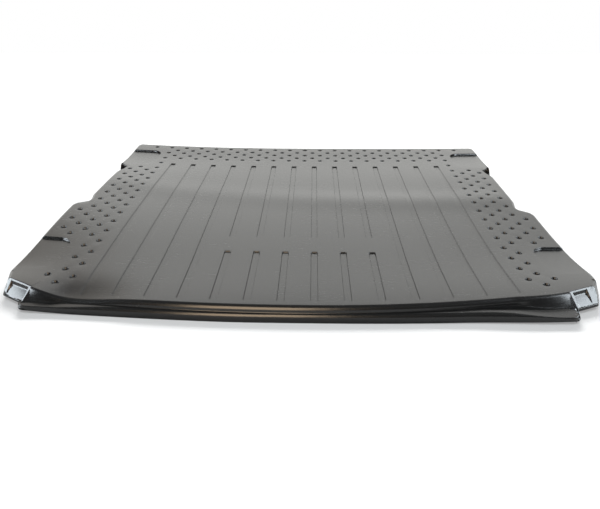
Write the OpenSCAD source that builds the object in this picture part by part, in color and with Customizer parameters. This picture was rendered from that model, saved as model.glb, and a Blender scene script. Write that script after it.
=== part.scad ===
// Formed cargo liner, lying face down on its rim, so that its underside is on top.
// One thin sheet is pressed into a shallow tray with a stepped loading lip, a wheel-arch waist,
// sunk grooves, studs and four corner pockets. Foam strips are stuck to the outside of its rim.
// X runs across the liner, Y from the loading lip to the rear edge, Z up from the foot of the rim.
// The origin is at the middle of the footprint. The modules work from the panel's front edge.

/* [Sheet] */
// Thickness of the sheet
wall = 3; // [2:0.5:4]
// Height of the panel above the foot of the rim
panel_height = 26; // [24:1:32]
// Length of the panel on the centre line, between the feet of its front edge and rear rim
panel_length = 850; // [820:5:900]
// Width across the feet of the rim at the waist
waist_width = 976; // [960:2:1010]
// How far the rear stretch stands out past the waist, on each side
rear_step = 12; // [6:1:24]
// How far the front stretch stands out past the waist, on each side
front_step = 22; // [10:1:30]
// Distance of the waist's straight stretch from the panel's front edge
waist_start = 445; // [420:5:470]
// Length of the waist's straight stretch
waist_length = 145; // [100:5:170]
// Radius of the bends that lead into and out of the waist
bend_radius = 60; // [45:5:90]
// Radius of the rim's corners in plan
corner_radius = 30; // [30:1:45]

/* [Rim] */
// Lean of the rim's wall from upright, in degrees
rim_draft = 8; // [3:1:12]
// Radius of the bend from the panel into the rim
rim_round = 6; // [5:0.5:9]

/* [Loading lip] */
// Length of the lip, end to end
lip_length = 894; // [870:2:920]
// How far the foot of the lip stands in front of the panel's front edge
lip_reach = 13; // [10:1:20]
// Drop from the panel to the lip's ledge
ledge_drop = 10; // [8:1:13]
// Radius of the bend from the ledge into the lip's lower wall
ledge_round = 5; // [4:0.5:7]
// Radius of the lip's two ends in plan
lip_corner = 16; // [14:1:22]
// Radius of the bow of the panel's front edge in plan
bow_radius = 4600; // [4000:100:6000]
// Length of the sloping facet at each end of the panel's front edge
facet_length = 95; // [60:5:110]
// How far the facet sets the panel's edge back at the lip's end
facet_setback = 20; // [16:1:30]
// Slope of the facet from level, in degrees
facet_slope = 65; // [45:1:75]

/* [Front corners] */
// Distance of the slope's toe behind the panel's front edge
corner_setback = 28; // [27:1:34]
// Length of the slope from the panel down to its toe
corner_slope = 32; // [30:1:60]
// Gap between the lip's end and the slope
corner_gap = 1; // [0.5:0.5:2]
// Height that the slope ends at, above the foot of the rim
corner_toe = 6; // [5:1:8]
// Width of the scoop in the slope
scoop_width = 36; // [28:1:38]
// Radius of the cove at the back of the scoop
scoop_radius = 28; // [24:1:30]
// Height of the scoop's floor above the foot of the rim
scoop_floor = 4; // [4:0.5:5]
// Width of the ridge between the scoop and the lip's end
scoop_ridge = 5; // [4:0.5:7]

/* [Grooves] */
// Number of grooves, an even number
groove_count = 14; // [8:2:14]
// Distance between grooves
groove_pitch = 55; // [50:0.5:56]
// Width of a groove
groove_width = 14; // [10:0.5:16]
// Depth of a groove
groove_depth = 3; // [2:0.5:4]
// Distance of the grooves' front ends from the panel's front edge
groove_start = 33; // [30:1:60]
// Distance of the grooves' rear ends from the rear rim's foot
groove_end_gap = 150; // [145:1:200]
// Number of middle grooves that stop for the plain band, an even number
band_grooves = 6; // [2:2:8]
// Distance of the plain band from the panel's front edge
band_start = 190; // [160:5:220]
// Depth of the plain band, front to back
band_depth = 85; // [60:5:110]

/* [Studs] */
// Half the distance between studs in a row, and the distance between rows
stud_step = 22; // [21:0.5:24]
// Diameter of a stud at the panel
stud_mouth = 13; // [10:0.5:14]
// Diameter of a stud at its flat end
stud_end = 9; // [6:0.5:9]
// Depth of a stud
stud_depth = 3.5; // [2:0.5:4]
// Distance of the last row of studs from the rear rim's foot
stud_rear_gap = 28; // [26:1:34]
// Rows of studs across the rear
stud_rows = 5; // [3:1:5]
// Distance of the outer studs from the foot of the side rims
stud_side_gap = 25; // [24:1:34]
// Distance of the first studs from the panel's front edge
stud_front_gap = 50; // [50:1:80]
// Least flat between a stud and a pocket
stud_clearance = 6; // [5:0.5:10]

/* [Pockets] */
// Depth of the corner pockets
pocket_depth = 9; // [6:0.5:11]
// Length of a pocket along the side
pocket_length = 116; // [90:2:130]
// Radius of a pocket's inner corners
pocket_corner = 25; // [15:1:30]
// Width of the front pockets from the rim's foot
front_pocket_width = 66; // [55:1:72]
// Distance of the front pockets from the panel's front edge
front_pocket_start = 96; // [92:1:130]
// Width of the rear pockets from the rim's foot
rear_pocket_width = 88; // [70:1:90]
// Distance of the rear pockets from the rear rim's foot
rear_pocket_gap = 50; // [46:1:60]

/* [Foam strips] */
// Length of a strip
strip_length = 110; // [80:5:130]
// Width of a strip, up the rim
strip_width = 10; // [8:0.5:12]
// Thickness of a strip
strip_thickness = 2; // [1.5:0.5:4]
// Distance between the two rear strips
rear_strip_gap = 420; // [300:10:500]

/* [Hidden] */
$fn = 96;
// Steps of a bend in plan and in section
bend_steps = 6;
// Steps of the bow along the front edge
bow_steps = 24;
// How far cuts run past the surfaces that they open
past = 1;
// Share of its last step by which a loft runs past its flat top, before it is cut level
over = 0.5;
// How far the lip's block reaches back into the body
lip_back = 62;

waist_half = waist_width / 2;
rear_half = waist_half + rear_step;
front_half = waist_half + front_step;
waist_end = waist_start + waist_length;
rear_turn = acos(1 - rear_step / (2 * bend_radius));
front_turn = acos(1 - front_step / (2 * bend_radius));
rear_straight = waist_end + 2 * bend_radius * sin(rear_turn);
front_straight = waist_start - 2 * bend_radius * sin(front_turn);
ledge_height = panel_height - ledge_drop;
lip_half = lip_length / 2;
bow_centre = [0, bow_radius];
corner_x = front_half - corner_radius;
corner_y = bow_radius - sqrt(pow(bow_radius - corner_radius, 2) - corner_x * corner_x);
bow_end = atan2(corner_y - bow_radius, corner_x);
corner_start = lip_half + corner_gap;
slope_top = corner_setback + corner_slope;
slope_angle = atan((panel_height - corner_toe) / corner_slope);
groove_end = panel_length - groove_end_gap;
outer_groove = (groove_count - 1) / 2 * groove_pitch;
rear_pocket_start = panel_length - rear_pocket_gap - pocket_length;
stud_last_row = panel_length - stud_rear_gap;
stud_first_column = ceil((outer_groove + groove_width / 2 + stud_step) / stud_step);
stud_columns = floor((front_half - stud_side_gap) / stud_step);
stud_lines = floor((stud_last_row - stud_front_gap) / stud_step);
strip_rise = (panel_height - rim_round - strip_width) / 2;
strip_stand = strip_thickness * cos(rim_draft) - strip_rise * sin(rim_draft);
middle = (panel_length + strip_stand - lip_reach) / 2;

// Distance that the bowed front edge falls back at a distance from the centre line
function bow(x) = bow_radius - sqrt(bow_radius * bow_radius - x * x);

// Points of an arc from one angle to another, after the first few of its steps
function arc(centre, radius, from, to, after = 0, steps = bend_steps) =
    [for (k = [after:steps])
        let (a = from + (to - from) * k / steps)
        centre + radius * [cos(a), sin(a)]];

// Foot of a form: a form that is taken away runs past the foot of the one it hollows out
function foot_of(inset) = inset > 0 ? -past : 0;

// Section of an edge that leans and bends into a flat top, set in by a distance all over,
// as [distance inside the foot line, height], from a height below the foot to just past the top
function edge_section(inset, low, top, round) =
    let (
        centre = [(round + (top - round) * sin(rim_draft)) / cos(rim_draft), top - round],
        wall = [(inset + low * sin(rim_draft)) / cos(rim_draft), low],
        bend = arc(centre, round - inset, 180 - rim_draft, 90),
        end = bend[bend_steps],
        beyond = end + over * (end - bend[bend_steps - 1])
    )
    concat([wall], [for (k = [0:bend_steps - 1]) bend[k]], [beyond]);

// Right side of the body's foot line, set in by a distance, from the front corner to the rear one
function right_side(d) = concat(
    arc([corner_x, corner_y], corner_radius - d, bow_end, 0),
    arc([front_half - bend_radius, front_straight], bend_radius - d, 0, front_turn),
    arc([waist_half + bend_radius, waist_start], bend_radius + d, 180 + front_turn, 180, 1),
    arc([waist_half + bend_radius, waist_end], bend_radius + d, 180, 180 - rear_turn),
    arc([rear_half - bend_radius, rear_straight], bend_radius - d, -rear_turn, 0, 1),
    arc([rear_half - corner_radius, panel_length - corner_radius], corner_radius - d, 0, 90)
);

// The body's whole foot line, set in by a distance, anticlockwise from the left end of the bow
function body_outline(d) =
    let (
        right = right_side(d),
        left = [for (k = [len(right) - 1:-1:0]) [-right[k].x, right[k].y]],
        bow = arc(bow_centre, bow_radius - d, -180 - bow_end, bow_end, 1, bow_steps)
    )
    concat([for (k = [0:bow_steps - 2]) bow[k]], right, left);

// The lip's foot line, set in by a distance, anticlockwise from its left end
function lip_outline(d) =
    let (
        x = lip_half - lip_corner,
        y = lip_corner - lip_reach
    )
    concat(
        arc([-x, y], lip_corner - d, 180, 270),
        arc([x, y], lip_corner - d, 270, 360),
        [[lip_half - d, lip_back], [d - lip_half, lip_back]]
    );

// A closed solid through outlines that have equally many points, from the lowest up
module loft(rings) {
    count = len(rings[0]);
    last = (len(rings) - 1) * count;
    sides = [for (low = [0:count:last - count], k = [0:count - 1])
        let (next = (k + 1) % count)
        [low + k, low + count + k, low + count + next, low + next]];
    bottom = [for (k = [0:count - 1]) k];
    top = [for (k = [count - 1:-1:0]) last + k];
    polyhedron([for (ring = rings) each ring], concat(sides, [bottom, top]));
}

// A loft whose top is cut level, so that its flat is one face
module level_loft(rings, top) {
    difference() {
        loft(rings);
        slab(top, rings[len(rings) - 1][0].z + past);
    }
}

// A slab over the whole footprint, between two heights
module slab(low, high) {
    margin = [past, past];
    corner = [front_half, lip_reach] + margin;
    size = [2 * front_half, panel_length + lip_reach] + 2 * margin;
    translate([-corner.x, -corner.y, low])
        cube([size.x, size.y, high - low]);
}

module both_sides() {
    children();
    mirror([1, 0, 0])
        children();
}

// The panel with its rim all round
module body(inset) {
    section = edge_section(inset, foot_of(inset) - past, panel_height, rim_round);
    level_loft(
        [for (s = section) [for (p = body_outline(s.x)) [p.x, p.y, s.y]]],
        panel_height - inset
    );
}

// The lip's ledge and lower wall, with round ends
module lip_block(inset) {
    section = edge_section(inset, foot_of(inset) - 2 * past, ledge_height, ledge_round);
    level_loft(
        [for (s = section) [for (p = lip_outline(s.x)) [p.x, p.y, s.y]]],
        ledge_height - inset
    );
}

// Takes the panel's edge back to a slope at the right end of the lip, above the ledge
module facet_cut(inset) {
    start = [lip_half - facet_length, bow(lip_half - facet_length)];
    end = [lip_half, bow(lip_half) + facet_setback];
    along = end - start;
    depth = lip_back;
    intersection() {
        translate([start.x, start.y, panel_height])
            rotate(atan2(along.y, along.x))
                rotate([facet_slope, 0, 0])
                    translate([-inset, -depth, -inset])
                        cube([2 * norm(along), depth + inset, depth]);
        translate([0, -lip_back, ledge_height - inset])
            cube([lip_half, 3 * lip_back, panel_height]);
    }
}

// Slope of the right front corner, from the panel down to the toe
module corner_cut(inset) {
    across = front_half - corner_start + inset + past;
    translate([corner_start - inset, slope_top, panel_height])
        rotate([slope_angle, 0, 0])
            translate([0, -2 * corner_slope, -inset])
                cube([across, 2 * corner_slope, corner_slope]);
}

// Scoop in the slope of the right front corner: a cove at the back and a level floor
module scoop_cut(inset) {
    radius = scoop_radius + inset;
    floor_height = scoop_floor - inset;
    high = panel_height + past;
    back = slope_top - scoop_radius - 2 * scoop_ridge;
    cove = arc([back, floor_height + radius], radius, 0, -90);
    translate([corner_start + scoop_ridge - inset, 0, 0])
        rotate([90, 0, 90])
            linear_extrude(scoop_width + 2 * inset)
                polygon(concat([[back + radius, high]], cove, [[0, floor_height], [0, high]]));
}

// One pocket on the right, open to the side
module pocket_cut(inset, inner, outer, start) {
    low = panel_height - pocket_depth - inset;
    radius = pocket_corner + inset;
    front = arc([inner + pocket_corner, start + pocket_corner], radius, 270, 180);
    rear = arc([inner + pocket_corner, start + pocket_length - pocket_corner], radius, 180, 90);
    translate([0, 0, low])
        linear_extrude(panel_height + past - low)
            polygon(concat(
                [[outer, start - inset]],
                front,
                rear,
                [[outer, start + pocket_length + inset]]
            ));
}

module pocket_cuts(inset) {
    pocket_cut(inset, front_half - front_pocket_width, front_half + past, front_pocket_start);
    pocket_cut(inset, rear_half - rear_pocket_width, rear_half + past, rear_pocket_start);
}

// One stretch of a groove
module groove_cut(inset, x, from, to) {
    low = panel_height - groove_depth - inset;
    translate([x - groove_width / 2 - inset, from - inset, low])
        cube([groove_width + 2 * inset, to - from + 2 * inset, panel_height + past - low]);
}

module groove_cuts(inset) {
    for (k = [0:groove_count - 1]) {
        x = k * groove_pitch - outer_groove;
        if (abs(x) < band_grooves / 2 * groove_pitch) {
            groove_cut(inset, x, groove_start, band_start);
            groove_cut(inset, x, band_start + band_depth, groove_end);
        } else {
            groove_cut(inset, x, groove_start, groove_end);
        }
    }
}

// Foot of the side rim at a distance from the front
function side_at(y) = y < front_straight ? front_half : y > rear_straight ? rear_half : waist_half;

// Is a stud at this place clear of a pocket?
function clear_of(x, y, inner, start) =
    let (gap = stud_mouth / 2 + stud_clearance)
    abs(x) < inner - gap || y < start - gap || y > start + pocket_length + gap;

// Is a stud at this place on the rear band or a side band, and clear of the pockets and the edge?
function stud_fits(x, y, row) =
    let (
        front_inner = front_half - front_pocket_width,
        rear_inner = rear_half - rear_pocket_width,
        on_band = row < stud_rows || abs(x) > (stud_first_column - 0.5) * stud_step,
        inside = abs(x) <= side_at(y) - stud_side_gap,
        behind_corner = y > front_pocket_start || abs(x) < front_inner
    )
    on_band && inside && behind_corner
        && clear_of(x, y, front_inner, front_pocket_start)
        && clear_of(x, y, rear_inner, rear_pocket_start);

module stud_cuts(inset) {
    low = panel_height - stud_depth - inset;
    taper = (stud_mouth - stud_end) / 2 / stud_depth;
    height = stud_depth + past;
    for (row = [0:stud_lines], column = [-stud_columns:stud_columns]) {
        x = column * stud_step;
        y = stud_last_row - row * stud_step;
        if ((row + abs(column)) % 2 == 0 && stud_fits(x, y, row))
            translate([x, y, low])
                cylinder(h = height, r1 = stud_end / 2 + inset, r2 = stud_end / 2 + inset + height * taper);
    }
}

// The liner's plain body with its lip, corners and pockets, set in by a distance all over
module blank(inset) {
    difference() {
        union() {
            body(inset);
            lip_block(inset);
        }
        slab(foot_of(inset) - 3 * past, foot_of(inset));
        both_sides() {
            facet_cut(inset);
            corner_cut(inset);
            scoop_cut(inset);
            pocket_cuts(inset);
        }
    }
}

// The body with its grooves
module grooved(inset) {
    difference() {
        blank(inset);
        groove_cuts(inset);
    }
}

// The body with its whole pressed pattern
module form(inset) {
    difference() {
        grooved(inset);
        stud_cuts(inset);
    }
}

// Moves what is made from the panel's front edge to the part's own origin
module placed() {
    translate([0, -middle, 0])
        children();
}

// The sheet is the body less the same body set in by the sheet's thickness
module liner_sheet() {
    color("#4a4a4c")
        placed()
            difference() {
                form(0);
                form(wall);
            }
}

// A strip along +Y on a rim whose foot lies at X = 0, centred on the origin
module foam_strip() {
    color("#1c1c1e")
        rotate([0, -rim_draft, 0])
            translate([0, -strip_length / 2, strip_rise])
                cube([strip_thickness, strip_length, strip_width]);
}

// A strip on the rear rim, right of the middle
module rear_strip() {
    placed()
        translate([(rear_strip_gap + strip_length) / 2, panel_length, 0])
            rotate(90)
                foam_strip();
}

// A strip on the right rim, midway along the rear stretch
module side_rear_strip() {
    placed()
        translate([rear_half, (rear_straight + panel_length - corner_radius) / 2, 0])
            foam_strip();
}

// A strip on the right rim, midway along the front stretch behind the front pocket
module side_front_strip() {
    placed()
        translate([front_half, (front_pocket_start + pocket_length + front_straight) / 2, 0])
            foam_strip();
}

module foam_strip_rear_left() { mirror([1, 0, 0]) rear_strip(); }
module foam_strip_rear_right() { rear_strip(); }
module foam_strip_side_rear_left() { mirror([1, 0, 0]) side_rear_strip(); }
module foam_strip_side_rear_right() { side_rear_strip(); }
module foam_strip_side_front_left() { mirror([1, 0, 0]) side_front_strip(); }
module foam_strip_side_front_right() { side_front_strip(); }

liner_sheet();
foam_strip_rear_left();
foam_strip_rear_right();
foam_strip_side_rear_left();
foam_strip_side_rear_right();
foam_strip_side_front_left();
foam_strip_side_front_right();
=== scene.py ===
"""Dressed model of a formed cargo liner that lies face down on its rim.

The liner is one thin sheet, pressed into a shallow tray with a stepped loading lip, a wheel-arch waist,
sunk grooves, studs and four corner pockets, with foam strips stuck to the outside of its rim. Lengths are
in metres. Plan places are measured from the middle of the panel's front edge: x to the right, y to the rear.
"""

from __future__ import annotations

import logging
import math
from collections.abc import Sequence
from dataclasses import dataclass, field
from enum import Enum
from typing import Any

import bpy
import numpy as np
from mathutils import Matrix, Vector
from mathutils.geometry import delaunay_2d_cdt
from mathutils.kdtree import KDTree

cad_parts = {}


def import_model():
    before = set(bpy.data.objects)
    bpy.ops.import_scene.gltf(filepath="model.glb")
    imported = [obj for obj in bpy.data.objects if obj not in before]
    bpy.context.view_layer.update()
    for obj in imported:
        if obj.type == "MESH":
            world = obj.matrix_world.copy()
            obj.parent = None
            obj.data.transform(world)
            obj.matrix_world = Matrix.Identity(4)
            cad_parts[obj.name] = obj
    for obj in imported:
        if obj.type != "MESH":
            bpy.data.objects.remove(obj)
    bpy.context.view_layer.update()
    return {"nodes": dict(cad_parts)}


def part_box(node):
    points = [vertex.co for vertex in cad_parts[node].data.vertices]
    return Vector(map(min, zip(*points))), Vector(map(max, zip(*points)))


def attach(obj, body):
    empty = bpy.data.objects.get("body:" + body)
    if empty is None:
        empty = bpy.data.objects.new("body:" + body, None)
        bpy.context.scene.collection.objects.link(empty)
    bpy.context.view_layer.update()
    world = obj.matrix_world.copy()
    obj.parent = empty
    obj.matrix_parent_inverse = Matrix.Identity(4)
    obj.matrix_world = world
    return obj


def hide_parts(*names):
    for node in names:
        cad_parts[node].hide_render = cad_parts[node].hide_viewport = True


LOG = logging.getLogger("liner")
BODY = "root"
Array = np.ndarray


class Skin(Enum):
    """The two faces of the sheet."""

    OUTER = "outer"
    INNER = "inner"


class Slot(Enum):
    """The record's material slots."""

    SHEET = "formed_sheet"
    FOAM = "foam"


def smooth_step(value: Array) -> Array:
    """Eases a value from 0 to 1."""
    share = np.clip(value, 0.0, 1.0)
    return share * share * (3.0 - 2.0 * share)


def soft_min(first: Array, second: Array, blend: float) -> Array:
    """Takes the lower of two heights, rounded where they meet.

    Args:
        first: One set of heights.
        second: The other set.
        blend: Difference in height over which they are rounded into each other.

    Returns:
        The lower heights.
    """
    share = np.maximum(blend - np.abs(first - second), 0.0) / blend
    return np.minimum(first, second) - share * share * blend / 4.0


def soft_max(first: Array, second: Array, blend: float) -> Array:
    """Takes the higher of two heights, rounded where they meet."""
    return -soft_min(-first, -second, blend)


def inside_corner(across: Array, along: Array, radius: float) -> Array:
    """Measures how far places are inside two sides that a round corner joins.

    Args:
        across: Distance inside one side.
        along: Distance inside the other side.
        radius: Radius of the corner.

    Returns:
        The distance at each place, below zero outside.
    """
    in_corner = (across < radius) & (along < radius)
    away = np.hypot(radius - across, radius - along)
    return np.where(in_corner, radius - away, np.minimum(across, along))


def lattice(xs: Array, ys: Array) -> Array:
    """Gives the places of a plain grid, one a row."""
    return np.stack(np.meshgrid(xs, ys), -1).reshape(-1, 2)


def spread(start: Array, end: Array, spacing: float) -> Array:
    """Gives points on a straight line, without its end.

    Args:
        start: First point.
        end: Point that the line runs to.
        spacing: Greatest distance between points.

    Returns:
        The points, one a row.
    """
    count = max(1, math.ceil(float(np.linalg.norm(end - start)) / spacing))
    share = np.arange(count)[:, None] / count
    return start + (end - start) * share


def nearest_tree(points: Array) -> KDTree:
    """Makes the tree that finds the nearest of some plan places.

    Args:
        points: The places, one a row.

    Returns:
        The tree.
    """
    tree = KDTree(len(points))
    for k, (x, y) in enumerate(points):
        tree.insert((x, y, 0.0), k)
    tree.balance()
    return tree


def rounded_path(corners: Sequence[tuple[float, float, float]], spacing: float, arc_spacing: float) -> Array:
    """Gives points on a closed outline whose corners are rounded.

    Args:
        corners: Each corner's x, y and radius, anticlockwise.
        spacing: Greatest distance between points on straight stretches.
        arc_spacing: Greatest distance between points on round corners.

    Returns:
        The points, one a row, without the first one again.
    """
    places = np.array([corner[:2] for corner in corners])
    count = len(corners)
    stretches: list[Array] = []
    for k in range(count):
        here = places[k]
        before = places[k - 1] - here
        after = places[(k + 1) % count] - here
        before /= np.linalg.norm(before)
        after /= np.linalg.norm(after)
        half = math.acos(float(np.clip(before @ after, -1.0, 1.0))) / 2.0
        radius = corners[k][2]
        if radius <= 0.0 or math.pi / 2.0 - half < 1e-4:
            stretches.append(here[None])
            continue
        middle = before + after
        centre = here + middle / np.linalg.norm(middle) * radius / math.sin(half)
        first = here + before * radius / math.tan(half) - centre
        last = here + after * radius / math.tan(half) - centre
        turn = math.pi - 2.0 * half
        side = math.copysign(1.0, float(first[0] * last[1] - first[1] * last[0]))
        steps = max(2, math.ceil(turn * radius / arc_spacing))
        angles = math.atan2(first[1], first[0]) + side * turn * np.arange(steps + 1) / steps
        stretches.append(centre + radius * np.stack([np.cos(angles), np.sin(angles)], 1))
    points: list[Array] = []
    for k, stretch in enumerate(stretches):
        following = stretches[(k + 1) % count]
        points.append(stretch[:-1])
        points.append(spread(stretch[-1], following[0], spacing))
    path = np.concatenate(points)
    return path[np.linalg.norm(path - np.roll(path, 1, 0), axis=1) > 1e-6]


@dataclass
class Outline:
    """A closed foot line in plan with the lean of the wall that stands on it.

    Attributes:
        points: The line's points, anticlockwise.
        lean: The wall's lean from upright at each point, in radians.
    """

    points: Array
    lean: Array

    def inward(self) -> Array:
        """Gives the unit directions into the outline.

        Returns:
            One direction for each point.
        """
        along = np.roll(self.points, -1, 0) - np.roll(self.points, 1, 0)
        along /= np.linalg.norm(along, axis=1)[:, None]
        return np.stack([-along[:, 1], along[:, 0]], 1)

    def inset(self, distance: Array | float) -> Array:
        """Gives the line moved inwards by a distance, which may vary along it."""
        return self.points + self.inward() * np.reshape(distance, (-1, 1))

    def depth(self, places: Array) -> tuple[Array, Array]:
        """Measures how far inside the line some places are.

        Args:
            places: Plan places, one a row.

        Returns:
            The distance inside the line, below zero outside it, and the lean of the nearest wall.
        """
        start = self.points
        step = np.roll(start, -1, 0) - start
        length = np.einsum("ij,ij->i", step, step)
        depth = np.empty(len(places))
        lean = np.empty(len(places))
        next_lean = np.roll(self.lean, -1)
        chunk = 4000
        for low in range(0, len(places), chunk):
            here = places[low:low + chunk, None, :] - start[None]
            share = np.clip(np.einsum("ijk,jk->ij", here, step) / length, 0.0, 1.0)
            away = here - share[..., None] * step[None]
            square = np.einsum("ijk,ijk->ij", away, away)
            near = np.argmin(square, 1)
            row = np.arange(len(near))
            cross = step[near, 0] * away[row, near, 1] - step[near, 1] * away[row, near, 0]
            depth[low:low + chunk] = np.copysign(np.sqrt(square[row, near]), cross)
            part = share[row, near]
            lean[low:low + chunk] = self.lean[near] * (1.0 - part) + next_lean[near] * part
        return depth, lean


@dataclass(frozen=True)
class Edge:
    """Section of a wall that leans and bends into a flat top.

    Attributes:
        top: Height of the flat.
        bend: Radius of the bend.
    """

    top: float
    bend: float

    def centre(self, lean: Array) -> Array:
        """Gives the distance of the bend's centre inside the foot line."""
        return (self.bend + (self.top - self.bend) * np.sin(lean)) / np.cos(lean)

    def height(self, depth: Array, lean: Array, inset: float) -> Array:
        """Gives the section's height.

        Args:
            depth: Distance inside the foot line.
            lean: Lean of the wall.
            inset: Distance that the whole section is set in, such as the sheet's thickness.

        Returns:
            The heights, which run on below the foot outside the line.
        """
        centre = self.centre(lean)
        reach = self.bend - inset
        wall = (depth - inset / np.cos(lean)) / np.tan(lean)
        arc = self.top - self.bend + np.sqrt(np.maximum(reach * reach - (centre - depth) ** 2, 0.0))
        height = np.where(depth > centre - reach * np.cos(lean), arc, wall)
        return np.where(depth >= centre, self.top - inset, height)

    @staticmethod
    def wall_depth(lean: Array, inset: float, height: float) -> Array:
        """Gives how far inside the foot line the wall reaches a height."""
        return inset / np.cos(lean) + height * np.tan(lean)

    def depths(self, lean: Array, inset: float, heights: Sequence[float], steps: int) -> list[Array]:
        """Gives where the section's rings lie.

        Args:
            lean: Lean of the wall at each point of the foot line.
            inset: Distance that the section is set in.
            heights: Heights of the rings on the wall below the bend.
            steps: Number of steps round the bend.

        Returns:
            One distance inside the foot line for each point, ring by ring from the lowest.
        """
        rings = [self.wall_depth(lean, inset, height) for height in heights]
        centre = self.centre(lean)
        for k in range(steps + 1):
            angle = (math.pi - lean) + (lean - math.pi / 2.0) * k / steps
            rings.append(centre + (self.bend - inset) * np.cos(angle))
        return rings


@dataclass(frozen=True)
class Rise:
    """One gentle rise of the light sheet.

    Attributes:
        side: -1 on the left half, 1 on the right half, 0 right across.
        place: Plan y of its highest line.
        length: Distance along y over which it runs out.
        height: Height that it has at the side.
        slide: How far it moves the side to the rear.
    """

    side: int
    place: float
    length: float
    height: float
    slide: float = 0.0

    def share(self, across: Array, y: Array, power: float) -> Array:
        """Gives the share of the rise at places.

        Args:
            across: Distance from the centre line to the right, 1 at the side.
            y: Plan y.
            power: How late towards the side the rise sets in.

        Returns:
            The share at each place.
        """
        along = np.exp(-(((y - self.place) / self.length) ** 2))
        if self.side == 0:
            return along
        return along * np.maximum(self.side * across, 0.0) ** power


@dataclass(frozen=True)
class Lie:
    """How the light sheet lies: curled up at its sides, with a soft crease across it.

    Attributes:
        rises: The curl, rise by rise.
        half_width: Distance from the centre line at which a rise has its full height.
        power: How late towards the side the rises set in.
        outwards: Share of a slide that also spreads the side outwards.
        settle: Drop of the middle, so that the lowest stretch of rim meets the floor.
        corner_rise: Extra rise of the front left corner.
        corner_place: Plan place of that rise.
        corner_width: Width of that rise.
        crease: Height of the soft crease across the panel, which is lower on the left.
        crease_width: Half width of the crease.
        crease_place: Plan y of the crease on the centre line.
        crease_slant: Change of its y from the centre line to the right side.
        crease_sweep: How far both ends of the crease lie to the rear.
        crease_end: Share of the half width over which the crease runs out at the sides.
        crease_left: Share of the crease's height that is left on the left.
    """

    rises: tuple[Rise, ...] = (
        Rise(-1, 0.340, 0.260, 0.0123, 0.0208),
        Rise(-1, 0.600, 0.150, 0.0073, 0.0056),
        Rise(-1, 0.860, 0.170, 0.0093, 0.0035),
        Rise(1, 0.000, 0.140, 0.0099, 0.0161),
        Rise(1, 0.560, 0.280, 0.0092),
        Rise(0, -0.010, 0.110, 0.0033),
        Rise(0, 0.860, 0.090, 0.0034, 0.0021),
    )
    half_width: float = 0.500
    power: float = 2.3
    outwards: float = 0.45
    settle: float = 0.0032
    corner_rise: float = 0.0075
    corner_place: tuple[float, float] = (-0.500, 0.010)
    corner_width: float = 0.085
    crease: float = 0.0020
    crease_width: float = 0.048
    crease_place: float = 0.455
    crease_slant: float = -0.040
    crease_sweep: float = 0.040
    crease_end: float = 0.12
    crease_left: float = 0.45

    def lift(self, x: Array, y: Array) -> Array:
        """Gives how far the sheet is raised.

        Args:
            x: Plan x of the places.
            y: Plan y of the places.

        Returns:
            The rise at each place.
        """
        across = x / self.half_width
        curl = sum(rise.height * rise.share(across, y, self.power) for rise in self.rises)
        away = (x - self.corner_place[0]) ** 2 + (y - self.corner_place[1]) ** 2
        corner = self.corner_rise * np.exp(-away / self.corner_width ** 2)
        place = self.crease_place + self.crease_slant * across + self.crease_sweep * across * across
        line = (y - place) / self.crease_width
        inside = smooth_step((1.0 - np.abs(across)) / self.crease_end)
        inside *= self.crease_left + (1.0 - self.crease_left) * smooth_step(0.5 + across)
        return curl - self.settle + corner + self.crease * np.exp(-line * line) * inside

    def slide(self, x: Array, y: Array) -> tuple[Array, Array]:
        """Gives how far the sheet is moved in plan, across and to the rear."""
        back = sum(rise.slide * rise.share(x / self.half_width, y, self.power) for rise in self.rises)
        return np.sign(x) * self.outwards * back, back

    def laid(self, places: Array) -> Array:
        """Gives points of the flat sheet where they lie.

        Args:
            places: Plan places with their heights, one a row.

        Returns:
            The new places.
        """
        x, y = places[:, 0], places[:, 1]
        across, back = self.slide(x, y)
        return np.column_stack([x + across, y + back, places[:, 2] + self.lift(x, y)])


@dataclass(frozen=True)
class Dent:
    """The soft dent in the panel's front edge, beside the left facet.

    Attributes:
        place: Plan place of its deepest point.
        depth: Its depth.
        inner: Distance over which it runs out towards the centre line.
        outer: Distance over which it runs out towards the corner.
        back: Distance over which it runs out to the rear.
    """

    place: tuple[float, float] = (-0.383, 0.014)
    depth: float = 0.0095
    inner: float = 0.080
    outer: float = 0.034
    back: float = 0.048

    def drop(self, x: Array, y: Array) -> Array:
        """Gives how far the panel is lowered.

        Args:
            x: Plan x of the places.
            y: Plan y of the places.

        Returns:
            The drop at each place.
        """
        across = x - self.place[0]
        across = across / np.where(across > 0.0, self.inner, self.outer)
        behind = np.maximum(y - self.place[1], 0.0) / self.back
        return self.depth * np.exp(-across * across - behind * behind)


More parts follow.
